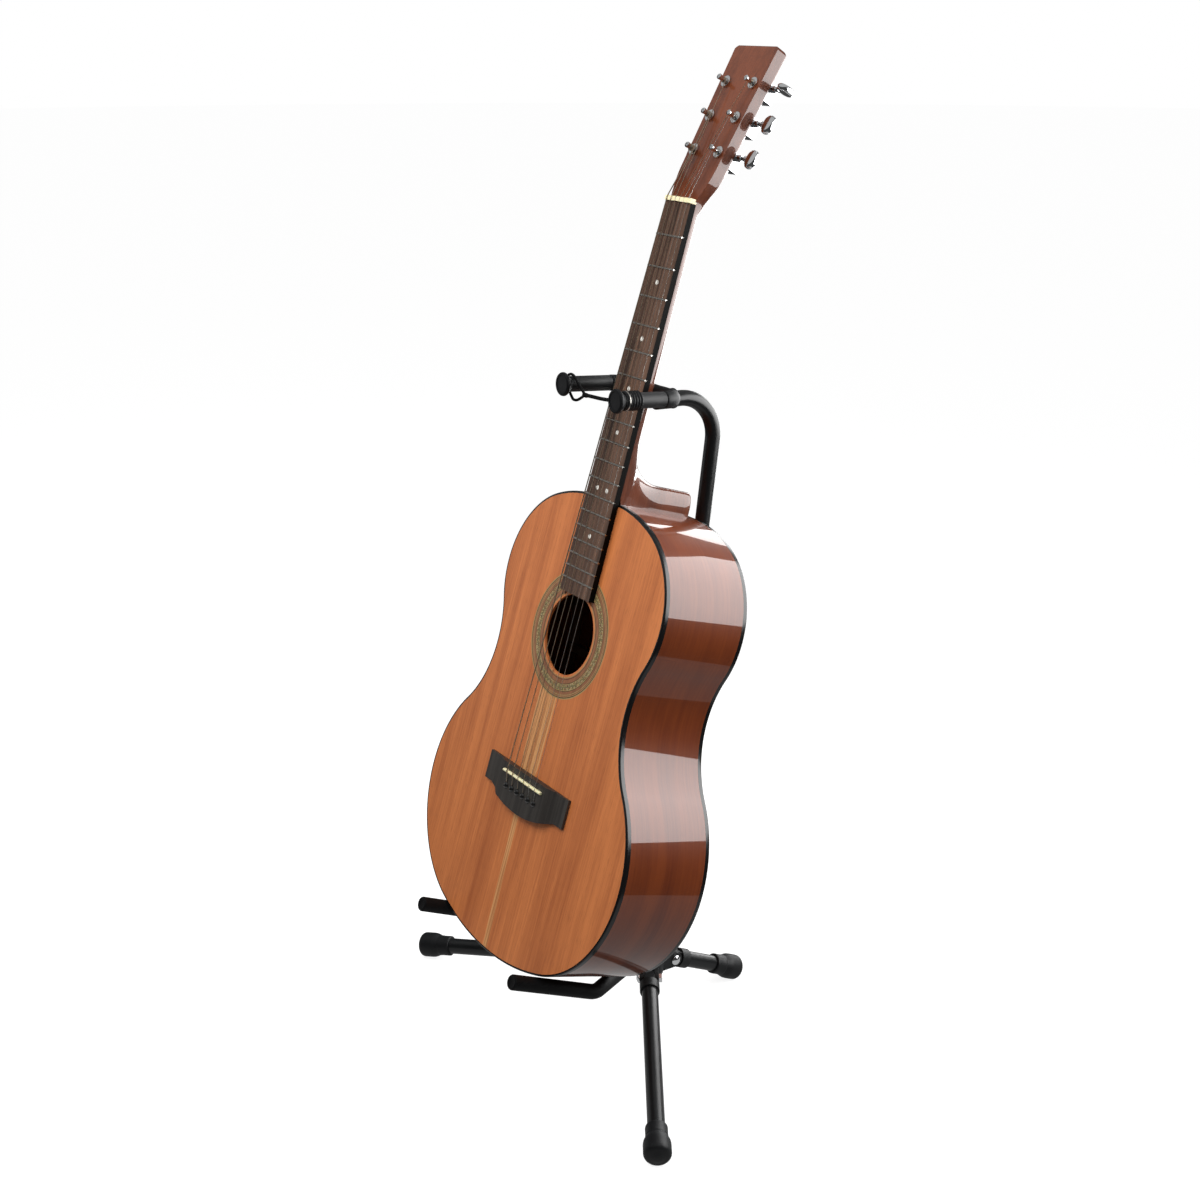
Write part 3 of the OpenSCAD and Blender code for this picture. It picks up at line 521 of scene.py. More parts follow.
NICKEL = metal("fret_nickel", (0.6, 0.58, 0.54), 0.3)
STEEL = metal("plain_string", (0.85, 0.83, 0.78), 0.45)
BRONZE = metal("wound_string", (0.72, 0.6, 0.46), 0.5, 0.4)
CHROME = metal("chrome", (0.86, 0.87, 0.88), 0.06)
TUBE_BLACK = coloured(
    "black_paint", srgb(17, 18, 19), 0.3, 0.12, 1400, 0.012, Specular_IOR_Level=0.45
)
PLASTIC = coloured(
    "moulded_plastic", srgb(20, 21, 22), 0.48, 0.15, 1700, 0.03, Specular_IOR_Level=0.35
)
RUBBER = coloured("rubber", srgb(13, 14, 16), 0.52, 0.2, 1500, 0.035, Specular_IOR_Level=0.35)
FOAM = coloured("foam_sleeve", srgb(12, 12, 13), 0.6, 0.15, 2200, 0.05, Specular_IOR_Level=0.2)

# ---------------------------------------------------------------- guitar body


def outline(inset, step=2.2):
    """The treble half of the body's outline, from the neck to the tail: (x, z, arc length)."""
    points = [(SHOULDER_FLAT, -inset, SHOULDER_FLAT)]
    x, z, heading, length = SHOULDER_FLAT, 0.0, 0.0, SHOULDER_FLAT
    for side, radius, turn in BOUTS:
        h = radians(heading)
        cx, cz = x + side * radius * sin(h), z - side * radius * cos(h)
        n = ceil(radius * radians(turn) / step)
        for k in range(1, n + 1):
            g = radians(heading - side * turn * k / n)
            r = side * radius - inset
            along = length + radius * radians(turn) * k / n
            points.append((cx - r * sin(g), cz + r * cos(g), along))
        heading -= side * turn
        length += radius * radians(turn)
        g = radians(heading)
        x, z = cx - side * radius * sin(g), cz + side * radius * cos(g)
    points[-1] = (0.0, points[-1][1], length)
    return points


def full_outline(inset):
    half = outline(inset)
    return [(x, z) for x, z, _ in half] + [(-x, z) for x, z, _ in half[-2::-1]]


def rib(side):
    """One bent side, from the neck to the tail, running between the bindings."""
    outer, inner = outline(0), outline(RIB_T)
    outer.insert(0, (0.0, 0.0, 0.0))
    inner.insert(0, (0.0, -RIB_T, 0.0))
    low, high = BINDING_H, BODY_DEPTH - BINDING_H
    rows = []
    for (ox, oz, _), (ix, iz, _) in zip(outer, inner):
        outside = [(side * ox, low + (high - low) * k / 4, oz) for k in range(5)]
        rows.append([(side * ix, low, iz), *outside, (side * ix, high, iz)])
    return loft(rows), [length for _, _, length in outer]


def build_ribs():
    for side, node in ((-1, "side_bass"), (1, "side_treble")):
        shape, lengths = rib(side)
        piece = finish_piece(node + "_piece", shape, GUITAR, SIDE_WOOD, node, [node])
        along = {}
        for i, length in enumerate(lengths):
            for p in shape[0][i * 7 : i * 7 + 7]:
                along[(round(p[0], 2), round(p[2], 2))] = length
        rule = lambda co: (
            co.y,
            0.3 * side,
            MM * along.get((round(co.x / MM, 2), round(co.z / MM, 2)), 0),
        )
        grain(piece, rule)


def build_bindings():
    """Black strips let into both edges of the body, with their outer corners rounded."""
    radius = 1.3
    inner = RIB_T + 0.3
    proud = 0.03
    quarter = [radians(a) for a in range(0, 91, 15)]
    arc = [(radius * (1 - sin(a)), radius * (1 - cos(a)) - proud) for a in quarter]
    section = [(inner, -proud), *arc, (0, BINDING_H), (inner, BINDING_H)]
    rings = []
    for inset, y in section:
        ring = full_outline(inset)
        rings.append([(x, y, z) for x, z in ring])
    front = loft(rings + [rings[0]], caps=False)
    back = [(x, BODY_DEPTH - y, z) for x, y, z in front[0]], front[1]
    shape = joined(front, back)
    finish_piece("bindings_piece", shape, GUITAR, BLACK_EDGE, "bindings", ["bindings"])


def build_back():
    """The back plate, with a narrow inlaid strip down its middle."""
    ring = full_outline(RIB_T)
    points = [Vector((x, z, 0)) for x, z in ring]
    fill = tessellate_polygon([points])
    low, high = BODY_DEPTH - 3, BODY_DEPTH
    n = len(ring)
    verts = [(x, low, z) for x, z in ring] + [(x, high, z) for x, z in ring]
    faces = [tuple(t) for t in fill] + [tuple(i + n for i in t) for t in fill]
    faces += [(k, (k + 1) % n, (k + 1) % n + n, k + n) for k in range(n)]
    node = "back_plate"
    finish_piece("back_plate_piece", (verts, faces), GUITAR, SIDE_WOOD, node, [node])
    half_strip = 2.5
    top, tail = -RIB_T - 1, min(z for _, z in ring) + 1
    strip = [(-half_strip, top), (half_strip, top), (half_strip, tail), (-half_strip, tail)]
    shape = loft([[(x, y, z) for x, z in strip] for y in (high - 1, high + 0.05)])
    finish_piece("back_strip_piece", shape, GUITAR, DARK_LINE, node)


def build_top():
    refined("soundboard", TOP_WOOD, GUITAR, 0.25)


def build_rosette():
    """Rings of wood and cream lines round the sound hole, with a mosaic band of small tiles."""
    rng = random.Random(7)
    columns = 432
    wood, line, green, white, brown, dark = range(6)
    mosaic = None
    rings = [
        (46.0, 46.8, line), (46.8, 47.8, wood), (47.8, 48.5, dark), (48.5, 52.6, wood),
        (52.6, 53.3, dark), (53.3, 54.0, line), (54.0, 55.2, mosaic), (55.2, 56.4, mosaic),
        (56.4, 57.4, green), (57.4, 58.7, mosaic), (58.7, 60.0, mosaic), (60.0, 60.7, line),
        (60.7, 61.4, dark), (61.4, 64.6, wood), (64.6, 65.3, line), (65.3, 66.8, wood),
        (66.8, 67.4, line), (67.4, 68.4, dark), (68.4, 69.6, line),
    ]
    tiles = [line, green, green, white, brown, wood]
    under_board = 26
    tile_faces = ((0, 1, 2, 3), (7, 6, 5, 4), (0, 3, 7, 4), (1, 2, 6, 5))
    verts, faces, painted = [], [], []
    for inner, outer, paint in rings:
        for k in range(columns):
            a0, a1 = 2 * pi * k / columns, 2 * pi * (k + 1) / columns
            middle = (a0 + a1) / 2
            if cos(middle) > 0 and abs(inner * sin(middle)) < under_board:
                continue
            corners = [(r * sin(a), -0.02, HOLE_U + r * cos(a)) for r, a in
                       ((inner, a0), (outer, a0), (outer, a1), (inner, a1))]
            base = len(verts)
            verts += corners + [(x, 1.15, z) for x, _, z in corners]
            faces += [[base + i for i in face] for face in tile_faces]
            chosen = rng.choice(tiles) if paint is mosaic else paint
            painted += [chosen] * len(tile_faces)
    mesh = bpy.data.meshes.new("rosette_piece")
    mesh.from_pydata([Vector(v) * MM for v in verts], [], faces)
    for polygon, paint in zip(mesh.polygons, painted):
        polygon.material_index = paint
    piece = add_object("rosette_piece", mesh)
    for material in (RED_WOOD, CREAM, MOSAIC_GREEN, MOSAIC_WHITE, MOSAIC_BROWN, DARK_LINE):
        mesh.materials.append(material)
    grain(piece)
    mesh.transform(in_metres(GUITAR))
    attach(piece, BODY_OF["rosette"])
    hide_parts("rosette")


# ---------------------------------------------------------------- neck and headstock

JOINT_W = 53.4
NUT_W = 44
NECK_D = 16.5
HEEL_L = 24
HEEL_CURVE = 46
HEEL_CENTRE = (NECK_D + HEEL_CURVE, HEEL_L + HEEL_CURVE)


def board_w(u):
    return JOINT_W + (NUT_W - JOINT_W) * u / NUT_U


def smoothstep(t):
    t = max(0.0, min(1.0, t))
    return t * t * (3 - 2 * t)


def neck_half_width(y, u):
    """Half the neck's width at a depth behind the fretboard; the heel narrows as it deepens."""
    full = board_w(max(u, 0)) / 2 - 0.3
    if y <= 12 or u > 120:
        return full
    c = 1 - min(1, (y - 12) / 55)
    heel = 12 + (full - 12) * (1 - sqrt(max(0, 1 - c * c))) - max(0, y - 67) * 0.045
    return full + (heel - full) * smoothstep((120 - u) / 50)


def neck_ring(apex, direction, depth, rounding, power, width):
    """A section of the neck: rounded at its apex on the back, open to the front."""
    arc = 20
    straight = 5
    half = []
    for k in range(arc + 1):
        t = pi / 2 * k / arc
        s = rounding * (1 - cos(t) ** (2 / power))
        y, u = apex[0] + direction[0] * s, apex[1] + direction[1] * s
        half.append((width(y, u) * sin(t) ** (2 / power), y, u))
    for k in range(1, straight + 1):
        s = rounding + (depth - rounding) * k / straight
        y, u = apex[0] + direction[0] * s, apex[1] + direction[1] * s
        half.append((width(y, u), y, u))
    return [(-x, y, u) for x, y, u in half[::-1]] + half[1:]


def head_half_width(z):
    if z <= 4:
        return 22 + z / 20
    if z <= 42:
        return 22.2 + 7.8 * sin(pi / 2 * (z - 4) / 38)
    if z <= HEAD_L - 4:
        return 30 + 5.5 * (z - 42) / (HEAD_L - 46)
    return 35.5 - (z - HEAD_L + 4)


def head_ring(z, inset=0.0):
    """A section across the headstock, as points of the guitar's frame."""
    blend = smoothstep((z + 12) / 42)
    power = 2 + 12 * blend
    half = head_half_width(z) - inset if z > 0 else board_w(NUT_U + z) / 2 - 0.3
    a = radians(HEAD_ANGLE)
    tilted = (-2.5 + z * sin(a), NUT_U + z * cos(a))
    front = (0.0, NUT_U + z) if z < 1 else tilted
    behind = (tilted[0] + HEAD_T * cos(a), tilted[1] - HEAD_T * sin(a))
    apex = (
        NECK_D - 2 + (behind[0] - NECK_D + 2) * blend,
        NUT_U + z + (behind[1] - NUT_U - z) * blend,
    )
    depth = hypot(front[0] - apex[0], front[1] - apex[1])
    direction = ((front[0] - apex[0]) / depth, (front[1] - apex[1]) / depth)
    apex = (apex[0] + direction[0] * inset, apex[1] + direction[1] * inset)
    depth -= 2 * inset
    return neck_ring(apex, direction, depth, depth * 0.985, power, lambda y, u: half)


def build_neck():
    """Heel, shaft and headstock as one skin: sections swing round the heel's hollow."""
    rings = []
    cy, cu = HEEL_CENTRE
    nose = HEEL_L - 1.5
    into_body = 1.2
    end = BODY_DEPTH - 1
    for y, inset in ((end, 2.6), (end - 0.4, 1.3), (end - 1.3, 0.4), (end - 2.6, 0)):
        width = lambda yy, uu, i=inset: neck_half_width(yy, uu) - i
        apex = (y, HEEL_L - inset)
        rings.append(neck_ring(apex, (0, -1), HEEL_L - inset + into_body, nose, 2.3, width))
    for k in range(1, 9):
        y = end - 2.6 + (cy - end + 2.6) * k / 8
        depth = HEEL_L + into_body
        rings.append(neck_ring((y, HEEL_L), (0, -1), depth, nose, 2.3, neck_half_width))
    fan = 18
    for k in range(1, fan + 1):
        a = pi / 2 * (1 - k / fan)
        apex = (cy - HEEL_CURVE * cos(a), cu - HEEL_CURVE * sin(a))
        to_front = cy / max(cos(a), 1e-6)
        to_body = (cu + into_body) / max(sin(a), 1e-6)
        depth = min(to_front, to_body) - HEEL_CURVE
        rounding = min(nose + (NECK_D - nose) * smoothstep(k / fan), depth)
        power = 2.3 - 0.3 * k / fan
        rings.append(neck_ring(apex, (-cos(a), -sin(a)), depth, rounding, power, neck_half_width))
    shaft = 16
    for k in range(1, shaft + 1):
        u = cu + (NUT_U - 14 - cu) * k / shaft
        depth = NECK_D - 2 * (u - cu) / (NUT_U - cu)
        rings.append(neck_ring((depth, u), (-1, 0), depth, depth * 0.99, 2, neck_half_width))
    stations = [-12, -9, -6, -3, 0, 3, 6, 9, 12, 14, 17, 20, 23, 26, 29, 32, 34.5, 36.5, 38, 39.3]
    stations += [40, 41.5, 44, *range(52, 172, 12), HEAD_L - 4]
    rings += [head_ring(z) for z in stations]
    for z, inset in ((HEAD_L - 1.2, 0.1), (HEAD_L - 0.4, 0.5), (HEAD_L, 1.2)):
        rings.append(head_ring(z, inset))
    finish_piece("neck_piece", loft(rings), GUITAR, NECK_WOOD, "neck", ["neck"], sharp=40)


def build_fretboard():
    board = refined("fretboard", [ROSEWOOD, BLACK_SIDE], GUITAR, 0.15)
    for polygon in board.data.polygons:
        if abs(polygon.normal.x) > 0.9 and polygon.area > 1e-5:
            polygon.material_index = 1
    refined("frets", NICKEL, GUITAR, 0)
    refined("position_dots", PEARL, GUITAR, 0.1)
    refined("nut", BONE, GUITAR, 0.35)
    refined("saddle", BONE, GUITAR, 0.2)
    refined("bridge", EBONIZED, GUITAR, 0.9)
    refined("bridge_pins", PIN_BLACK, GUITAR, 0.15)


def string_x(i, spread):
    return -spread / 2 + spread * i / 5


def build_strings():
    """Each string runs from its pin, over the saddle and the nut, to the side of its post."""
    for kind, wanted, material in (("wound", range(0, 4), BRONZE), ("plain", range(4, 6), STEEL)):
        shapes = []
        for i in wanted:
            r = STRING_R[i]
            k = i if i < 3 else 5 - i
            side = -1 if i < 3 else 1
            post = Vector((side * (POST_X[k] - 4.5 - r), -5, POST_Z[k]))
            end = GUITAR.inverted() @ HEAD @ post
            xs, xn = string_x(i, 57), string_x(i, 36)
            path = [
                (xs, -9.2, SADDLE_U - 12.2),
                (xs, -10.6, SADDLE_U - 5),
                (xs, -12 - r, SADDLE_U - 0.4),
                (xs, -12 - r, SADDLE_U + 0.6),
                (xn, -8.4 - r, NUT_U + 0.5),
                (xn, -8.2 - r, NUT_U + 4.5),
                end,
            ]
            shapes.append(sweep(path, r=max(r, 0.24), sides=12))
        name = f"strings_{kind}"
        finish_piece(name, joined(*shapes), GUITAR, material, "strings", ["strings"], sharp=60)


# ---------------------------------------------------------------- tuning machines


def helix(radius, r, low, pitch, turns, sides=8):
    steps = int(turns * 24)
    path = []
    for k in range(steps + 1):
        a = 2 * pi * k / 24
        path.append((radius * cos(a), radius * sin(a), low + pitch * k / 24))
    return sweep(path, r=r, sides=sides)


def build_post(machine):
    """A waisted capstan post with the string's last turns wound round it."""
    node = f"tuner_post_{machine}"
    where, side = tuner_frame(machine)
    outward = where @ turned(90, "X")
    foot = -HEAD_T - 10.3
    profile = [
        (0, foot), (1.9, foot), (2, foot + 0.2), (2, -HEAD_T - 1.6), (2.95, -HEAD_T - 1.5),
        (2.95, 2.2), (2.75, 2.6), (2.45, 3.4), (2.35, 5.2), (2.45, 7.4), (2.8, 9.2),
        (3, 10), (3, 11.4), (2.6, 11.9), (1.4, 12), (1.2, 11.7), (0, 11.6),
    ]
    finish_piece(f"{node}_shaft", lathe(profile, 40), outward, CHROME, node, [node], sharp=32)
    k = (machine - 1) % 3
    string = 5 - k if side > 0 else k
    r = max(STRING_R[string], 0.26)
    coil = helix(2.4 + r, r, 3.3, 2 * r + 0.08, 2.6)
    finish_piece(f"{node}_winding", coil, outward, BRONZE if string < 4 else STEEL, node, sharp=60)


def oval_button(along, across, thick):
    """A tuner's button: an oval with domed faces and a rounded rim."""
    steps = 48
    rings = []
    levels = [(0.0, 1.0), (0.45, 0.985), (0.75, 0.93), (0.93, 0.85)]
    levels += [(1.0, 0.74), (1.06, 0.45), (1.08, 0.02)]
    heights = [(-h, s) for h, s in reversed(levels)] + levels[1:]
    for height, share in heights:
        ring = []
        for k in range(steps):
            a = 2 * pi * k / steps
            c, s = cos(a), sin(a)
            power = 0.86
            x = along / 2 * share * (abs(c) ** power) * (1 if c > 0 else -1)
            z = across / 2 * share * (abs(s) ** power) * (1 if s > 0 else -1)
            ring.append((x, height * thick / 2.16, z))
        rings.append(ring)
    return loft(rings)


def build_button(machine):
    node = f"tuner_button_{machine}"
    where, side = tuner_frame(machine)
    k = (machine - 1) % 3
    reach = BUTTON_X - POST_X[k]
    axis = where @ Matrix.Translation((0, HEAD_T + 5, 5))
    if side < 0:
        axis = axis @ turned(180, "Z")
    outward = turned(90, "Y")
    stem = [
        (0, -5.7), (1.95, -5.7), (1.95, reach - 13.5), (2.6, reach - 12.8), (3.2, reach - 11.6),
        (3.2, reach - 10.8), (2.2, reach - 10), (2.1, reach - 8.6), (3.1, reach - 6),
        (3.4, reach - 3), (0, reach),
    ]
    button = moved(Matrix.Translation((reach, 0, 0)), oval_button(14, 20, 7.4))
    if machine == 3:
        button = moved(turned(90, "X"), button)
    shape = joined(moved(outward, lathe(stem, 32)), button)
    finish_piece(f"{node}_piece", shape, axis, CHROME, node, [node], sharp=45)


def build_tuners():
    for machine in range(1, 7):
        build_post(machine)
        build_button(machine)
    refined("tuner_housings", CHROME, HEAD, 0.9, 40)
    refined("tuner_bushings", CHROME, HEAD, 0.45)
    refined("tuner_screws", CHROME, HEAD, 0.3)


# ---------------------------------------------------------------- stand


def build_legs():
    """Each leg: a painted tube in its knuckle, and a rubber foot worn flat on the floor."""
    tube = [(0, 7.6), (0, 9.0), (0.5, 9.5), (-0.5, 9.5), (-0.001, 9.0), (-0.0005, 7.6)]
    for name in ("left", "right", "rear"):
        where = leg_frame(name)
        length = leg_length(name)
        shape = sweep([(0, 14, 0), (0, length + 6, 0)], tube, sides=48)
        node = f"leg_{name}"
        finish_piece(f"{node}_tube", shape, where, TUBE_BLACK, node, [node])
        refined(f"leg_knuckle_{name}", PLASTIC, where, 0.8)
        build_foot(name, where, length)


def build_foot(name, where, length):
    profile = [(9.55, -29.5), (11.2, -29.5), (12, -28.6)]
    profile += [(12.1, -27), (12.0, -17.5), (12.3, -16.6), (12.3, -15.6), (12.0, -14.9), (12.3, -14)]
    profile += [(13.2, -12), (14.2, -9.6), (14.8, -7), (15, -4), (15, 4)]
    profile += [(9 + 6 * cos(a), 6 + 6 * sin(a)) for a in map(radians, range(0, 91, 15))]
    profile += [(6, 13.4), (3, 14.2), (0, 14.4)]
    outward = where @ Matrix.Translation((0, length, 0)) @ turned(-90, "X")
    verts, faces = lathe(profile, 56)
    back = outward.inverted()
    worn = []
    for v in verts:
        p = outward @ Vector(v)
        p.z = max(p.z, 0.0)
        worn.append(back @ p)
    node = f"foot_{name}"
    finish_piece(f"{node}_rubber", (worn, faces), outward, RUBBER, node, [node], sharp=50)


def gooseneck_path():
    """The upper mast's line in the mast's frame: a straight, an arc and a short level end."""
    radius = 46
    turn = radians(90 + MAST_LEAN)
    rise = (JOINT.z + 96.5 - HUB_Z) / cos(radians(MAST_LEAN))
    tangent = radius * tan(turn / 2)
    level = MAST_Y + rise * sin(radians(MAST_LEAN)) - tangent - (JOINT.y + 74)
    start = rise - tangent
    path = [Vector((0, 0, 122))]
    for k in range(33):
        a = turn * k / 32
        path.append(Vector((0, -radius * (1 - cos(a)), start + radius * sin(a))))
    path.append(path[-1] + Vector((0, -sin(turn), cos(turn))) * level)
    return path


def build_mast():
    refined("mast_lower", TUBE_BLACK, MAST, 0.3)
    tube = sweep(gooseneck_path(), r=8.5, sides=48)
    finish_piece("mast_upper_tube", tube, MAST, TUBE_BLACK, "mast_upper", ["mast_upper"])
    refined("height_clamp", PLASTIC, MAST, 1.2)
    refined("hub", PLASTIC, ROW, 1.0)
    refined("leg_bolts", CHROME, ROW, 0.4)
    build_clamp_knob()


def build_clamp_knob():
    """A wing knob: a waisted hub with two rounded wings."""
    where = MAST @ Matrix.Translation((0, 0, 308)) @ turned(-90, "X")
    profile = [(0, 8.8), (3, 8.8), (3, 25), (7.2, 25), (7.6, 25.6), (7.6, 27), (7, 29), (7, 36)]
    profile += [(6.4, 37.4), (0, 38)]
    sections = [(3, 4.2, 3.4), (8, 4.4, 3.2), (14, 4.4, 2.8)]
    sections += [(18, 4.2, 2.7), (19.6, 3.2, 2.2), (20, 1.8, 1.2)]
    wings = []
    for side in (-1, 1):
        rings = []
        for x, high, thick in sections:
            ring = []
            for k in range(24):
                a = 2 * pi * k / 24
                ring.append((thick * cos(a), side * x, 31.5 + high * sin(a)))
            rings.append(ring)
        wings.append(loft(rings))
    shape = joined(lathe(profile, 40), *wings)
    finish_piece("clamp_knob_piece", shape, where, PLASTIC, "clamp_knob", ["clamp_knob"])


def build_cradle():
    """A bent bar with a padded sleeve over each arm."""
    tip = JOINT + Vector((100, -178, -472.8))
    bend = JOINT + Vector((100, -78, -517.8))
    root = JOINT + Vector((34, 48, -528.2))
    rod_r, bend_r = 5, 26
    route = bent([tip, bend, root, *mirrored([root, bend, tip])], bend_r)
    rod = sweep(route, r=rod_r)
    finish_piece("cradle_bar_rod", rod, ROW, TUBE_BLACK, "cradle_bar", ["cradle_bar"])
    inward = (root - bend).normalized()
    end = bend + 95 * inward
    outer_tip = tip + 5 * (tip - bend).normalized()
    profile = [
        (0.9, 0.1), (0.6, 5.2), (0.15, 5.7), (0, 6.6), (0.5, 7.7), (1.6, 8.3),
        (-1.4, 8.3), (-0.3, 7.8), (-0.01, 5.2),
    ]
    for side, name in ((1, "right"), (-1, "left")):
        path = bent([outer_tip, bend, end], bend_r)
        if side < 0:
            path = mirrored(path)
        node = f"cradle_sleeve_{name}"
        sleeve = sweep(path, profile, sides=40)
        piece = finish_piece(f"{node}_foam", sleeve, ROW, FOAM, node, [node], sharp=50)


def build_yoke():
    """A rubber boot on the gooseneck, two sleeved arms with end discs, and a ribbed cuff."""
    crotch = JOINT + Vector((0, 66.2, 103))
    corner = JOINT + Vector((50, 53.7, 109.5))
    tip = JOINT + Vector((50, -19, 115.9))
    direction = (tip - corner).normalized()
    arm = corner + 15 * direction
    reach = (tip - arm).length
    build_boot(crotch, corner, arm)
    profile = [
        (0, 5), (0, 7.9), (0.5, 8.3), (reach - 7, 8.3), (reach - 4.4, 9.0), (reach - 2.4, 10.6),
        (reach - 1, 12.2), (reach, 12.6), (reach + 1.4, 12.5), (reach + 2.5, 11.8),
        (reach + 2.95, 10.6), (reach + 2.96, 9.8), (reach + 2.1, 9.2), (reach + 2, 0.1),
    ]
    for side, name in ((1, "right"), (-1, "left")):
        path = [arm, tip + 3 * direction]
        if side < 0:
            path = mirrored(path)
        node = f"yoke_sleeve_{name}"
        sleeve = sweep(path, profile, sides=44)
        finish_piece(f"{node}_rubber", sleeve, ROW, RUBBER, node, [node], sharp=40)
    build_cuff(tip, direction)
    build_strap(tip, direction)


def build_boot(crotch, corner, arm):
    """The yoke's moulded boot: a collar on the gooseneck, and a bow round the neck's back."""
    bend_r = 19
    path = bent([arm, corner, crotch, *mirrored([corner, arm])], bend_r)
    length = sum((b - a).length for a, b in zip(path, path[1:]))
    steps = 24
    profile = [(0, 5), (0, 8.4), (0.4, 8.7)]
    for k in range(1, steps):
        share = k / steps
        profile.append((length * share, 8.7 + 1.9 * sin(pi * share) ** 1.5))
    profile += [(length - 0.4, 8.7), (length - 0.01, 8.4), (length, 5)]
    bow = sweep(path, profile, sides=36)
    back, front = JOINT + Vector((0, 88, 97.3)), JOINT + Vector((0, 62, 98.6))
    collar = [(0, 8.6), (0, 10.4), (0.6, 11), (2.6, 11.1), (3.4, 10.6), (25, 10.8), (26, 4)]
    shape = joined(bow, sweep([back, front], collar, sides=44))
    node = "yoke_body"
    piece = finish_piece("yoke_body_boot", shape, ROW, RUBBER, node, [node], sharp=50)
    remesh = piece.modifiers.new("one_skin", "REMESH")
    remesh.mode = "VOXEL"
    remesh.voxel_size = 0.7 * MM
    remesh.use_smooth_shade = True
    soften = piece.modifiers.new("soften", "SMOOTH")
    soften.factor = 0.5
    soften.iterations = 8


def build_cuff(tip, direction):
    """The strap's ribbed cuff round the treble arm, with a bright ring among its ribs."""
    path = [tip - 27 * direction, tip - 7 * direction]
    profile = [(0, 8.35), (0, 9.1)]
    for k in range(6):
        z = 0.5 + 3.2 * k
        profile += [(z, 9.2), (z + 0.6, 9.9), (z + 1.25, 10.2), (z + 1.9, 9.9), (z + 2.5, 9.2)]
    profile += [(20, 9.2), (20, 8.35)]
    cuff = sweep(path, profile, sides=44)
    finish_piece("strap_cuff_ribs", cuff, ROW, RUBBER, "strap_cuff", ["strap_cuff"], sharp=60)
    band = [(16.1, 9.2), (16.1, 10.1), (16.4, 10.4), (17.2, 10.4), (17.5, 10.1), (17.5, 9.2)]
    ring = sweep(path, band, sides=44)
    finish_piece("strap_cuff_ring", ring, ROW, NICKEL, "strap_cuff", sharp=60)


def curve_through(points, steps=12):
    """A smooth line through a few given points."""
    points = [Vector(p) for p in points]
    ends = [2 * points[0] - points[1]] + points + [2 * points[-1] - points[-2]]
    path = []
    for a, b, c, d in zip(ends, ends[1:], ends[2:], ends[3:]):
        for k in range(steps):
            t = k / steps
            square = (2 * a - 5 * b + 4 * c - d) * t**2
            cube = (3 * b - a - 3 * c + d) * t**3
            path.append(0.5 * (2 * b + (c - a) * t + square + cube))
    path.append(points[-1])
    return path


def build_strap(tip, direction):
    """An elastic cord from the cuff across the neck, with a loop hooked round the far arm."""
    y = JOINT.y - 9
    z = JOINT.z + 112
    ring_r = 10.3
    far = Vector((-tip.x, y, tip.z + direction.z / direction.y * (y - tip.y)))
    knot = Vector((-24, y, z - 4.2))
    off = knot - far
    aim, spread = atan2(off.z, off.x), acos(ring_r / off.length)
    turns = [aim + spread + (2 * pi - 2 * spread) * k / 16 for k in range(17)]
    around = [far + ring_r * Vector((cos(a), 0, sin(a))) for a in turns]
    under = around[-1]
    loop = [knot, *[knot.lerp(around[0], t) for t in (0.35, 0.7)], *around[:-2]]
    slack = [(3, -2.5, -2.6), (9, -4, -4.2), (15, -2.5, -3.4)]
    loop += [under + Vector(p) for p in slack] + [knot]
    shapes = [sweep(curve_through(loop, 6), r=1.5, sides=16)]
    run = [knot, (-12, y - 0.4, z - 3.4), (8, y - 0.4, z - 2.4), (28, y, z - 0.6), (41, y, z)]
    cord = [(0, 1.6), (1, 2.0), (-1, 2.0), (-0.01, 1.6)]
    shapes.append(sweep(curve_through(run), cord, sides=16))
    tie = [knot - Vector((2.6, 0, 0)), knot + Vector((4.5, 0, 0))]
    shapes.append(sweep(tie, [(0, 1.6), (0.6, 2.5), (5, 2.6), (6.5, 2.3), (7.1, 1.8)], sides=20))
    finish_piece("strap_elastic", joined(*shapes), ROW, FOAM, "strap", ["strap"], sharp=60)


def build_inside():
    for node in ("linings", "neck_block", "tail_block", "top_braces", "back_braces", "bridge_plate"):
        refined(node, INNER_WOOD, GUITAR, 0.3)
    refined("truss_rod", STEEL, GUITAR, 0.2)


# ---------------------------------------------------------------- studio


def look_from(at, forward, right, down):
    m = Matrix((right, [-c for c in down], [-c for c in forward])).transposed().to_4x4()
    m.translation = Vector(at)
    return m


def build_camera():
    data = bpy.data.cameras.new("camera")
    data.lens = 52.23
    data.sensor_width = 36
    camera = add_object("camera", data)
    at = (JOINT + Vector((1477.16, -976.18, 493.77))) * MM
    camera.matrix_world = look_from(
        at, (-0.79076, 0.51928, -0.32411), (0.54891, 0.83589, 0), (0.27092, -0.17791, -0.94602)
    )
    bpy.context.scene.camera = camera


def toward(azimuth, height, distance):
    """A point round the object: azimuth 0 is in front and 90 on the treble side."""
    a = radians(azimuth)
    return Vector((distance * sin(a), -distance * cos(a), height))


def facing_in(azimuth, height, distance, aim):
    """Placement of a lamp that faces the object's middle line at the height of its aim."""
    at = toward(azimuth, height, distance)
    facing = (Vector((0, 0, aim)) - at).normalized()
    m = facing.to_track_quat("-Z", "Y").to_matrix().to_4x4()
    m.translation = at
    return m


def softbox(name, azimuth, height, distance, width, tall, radiance, aim):
    data = bpy.data.lights.new(name, "AREA")
    data.shape = "RECTANGLE"
    data.size = width
    data.size_y = tall
    data.energy = radiance * width * tall * pi
    lamp = add_object(name, data)
    lamp.matrix_world = facing_in(azimuth, height, distance, aim)
    lamp.visible_camera = False
    return lamp


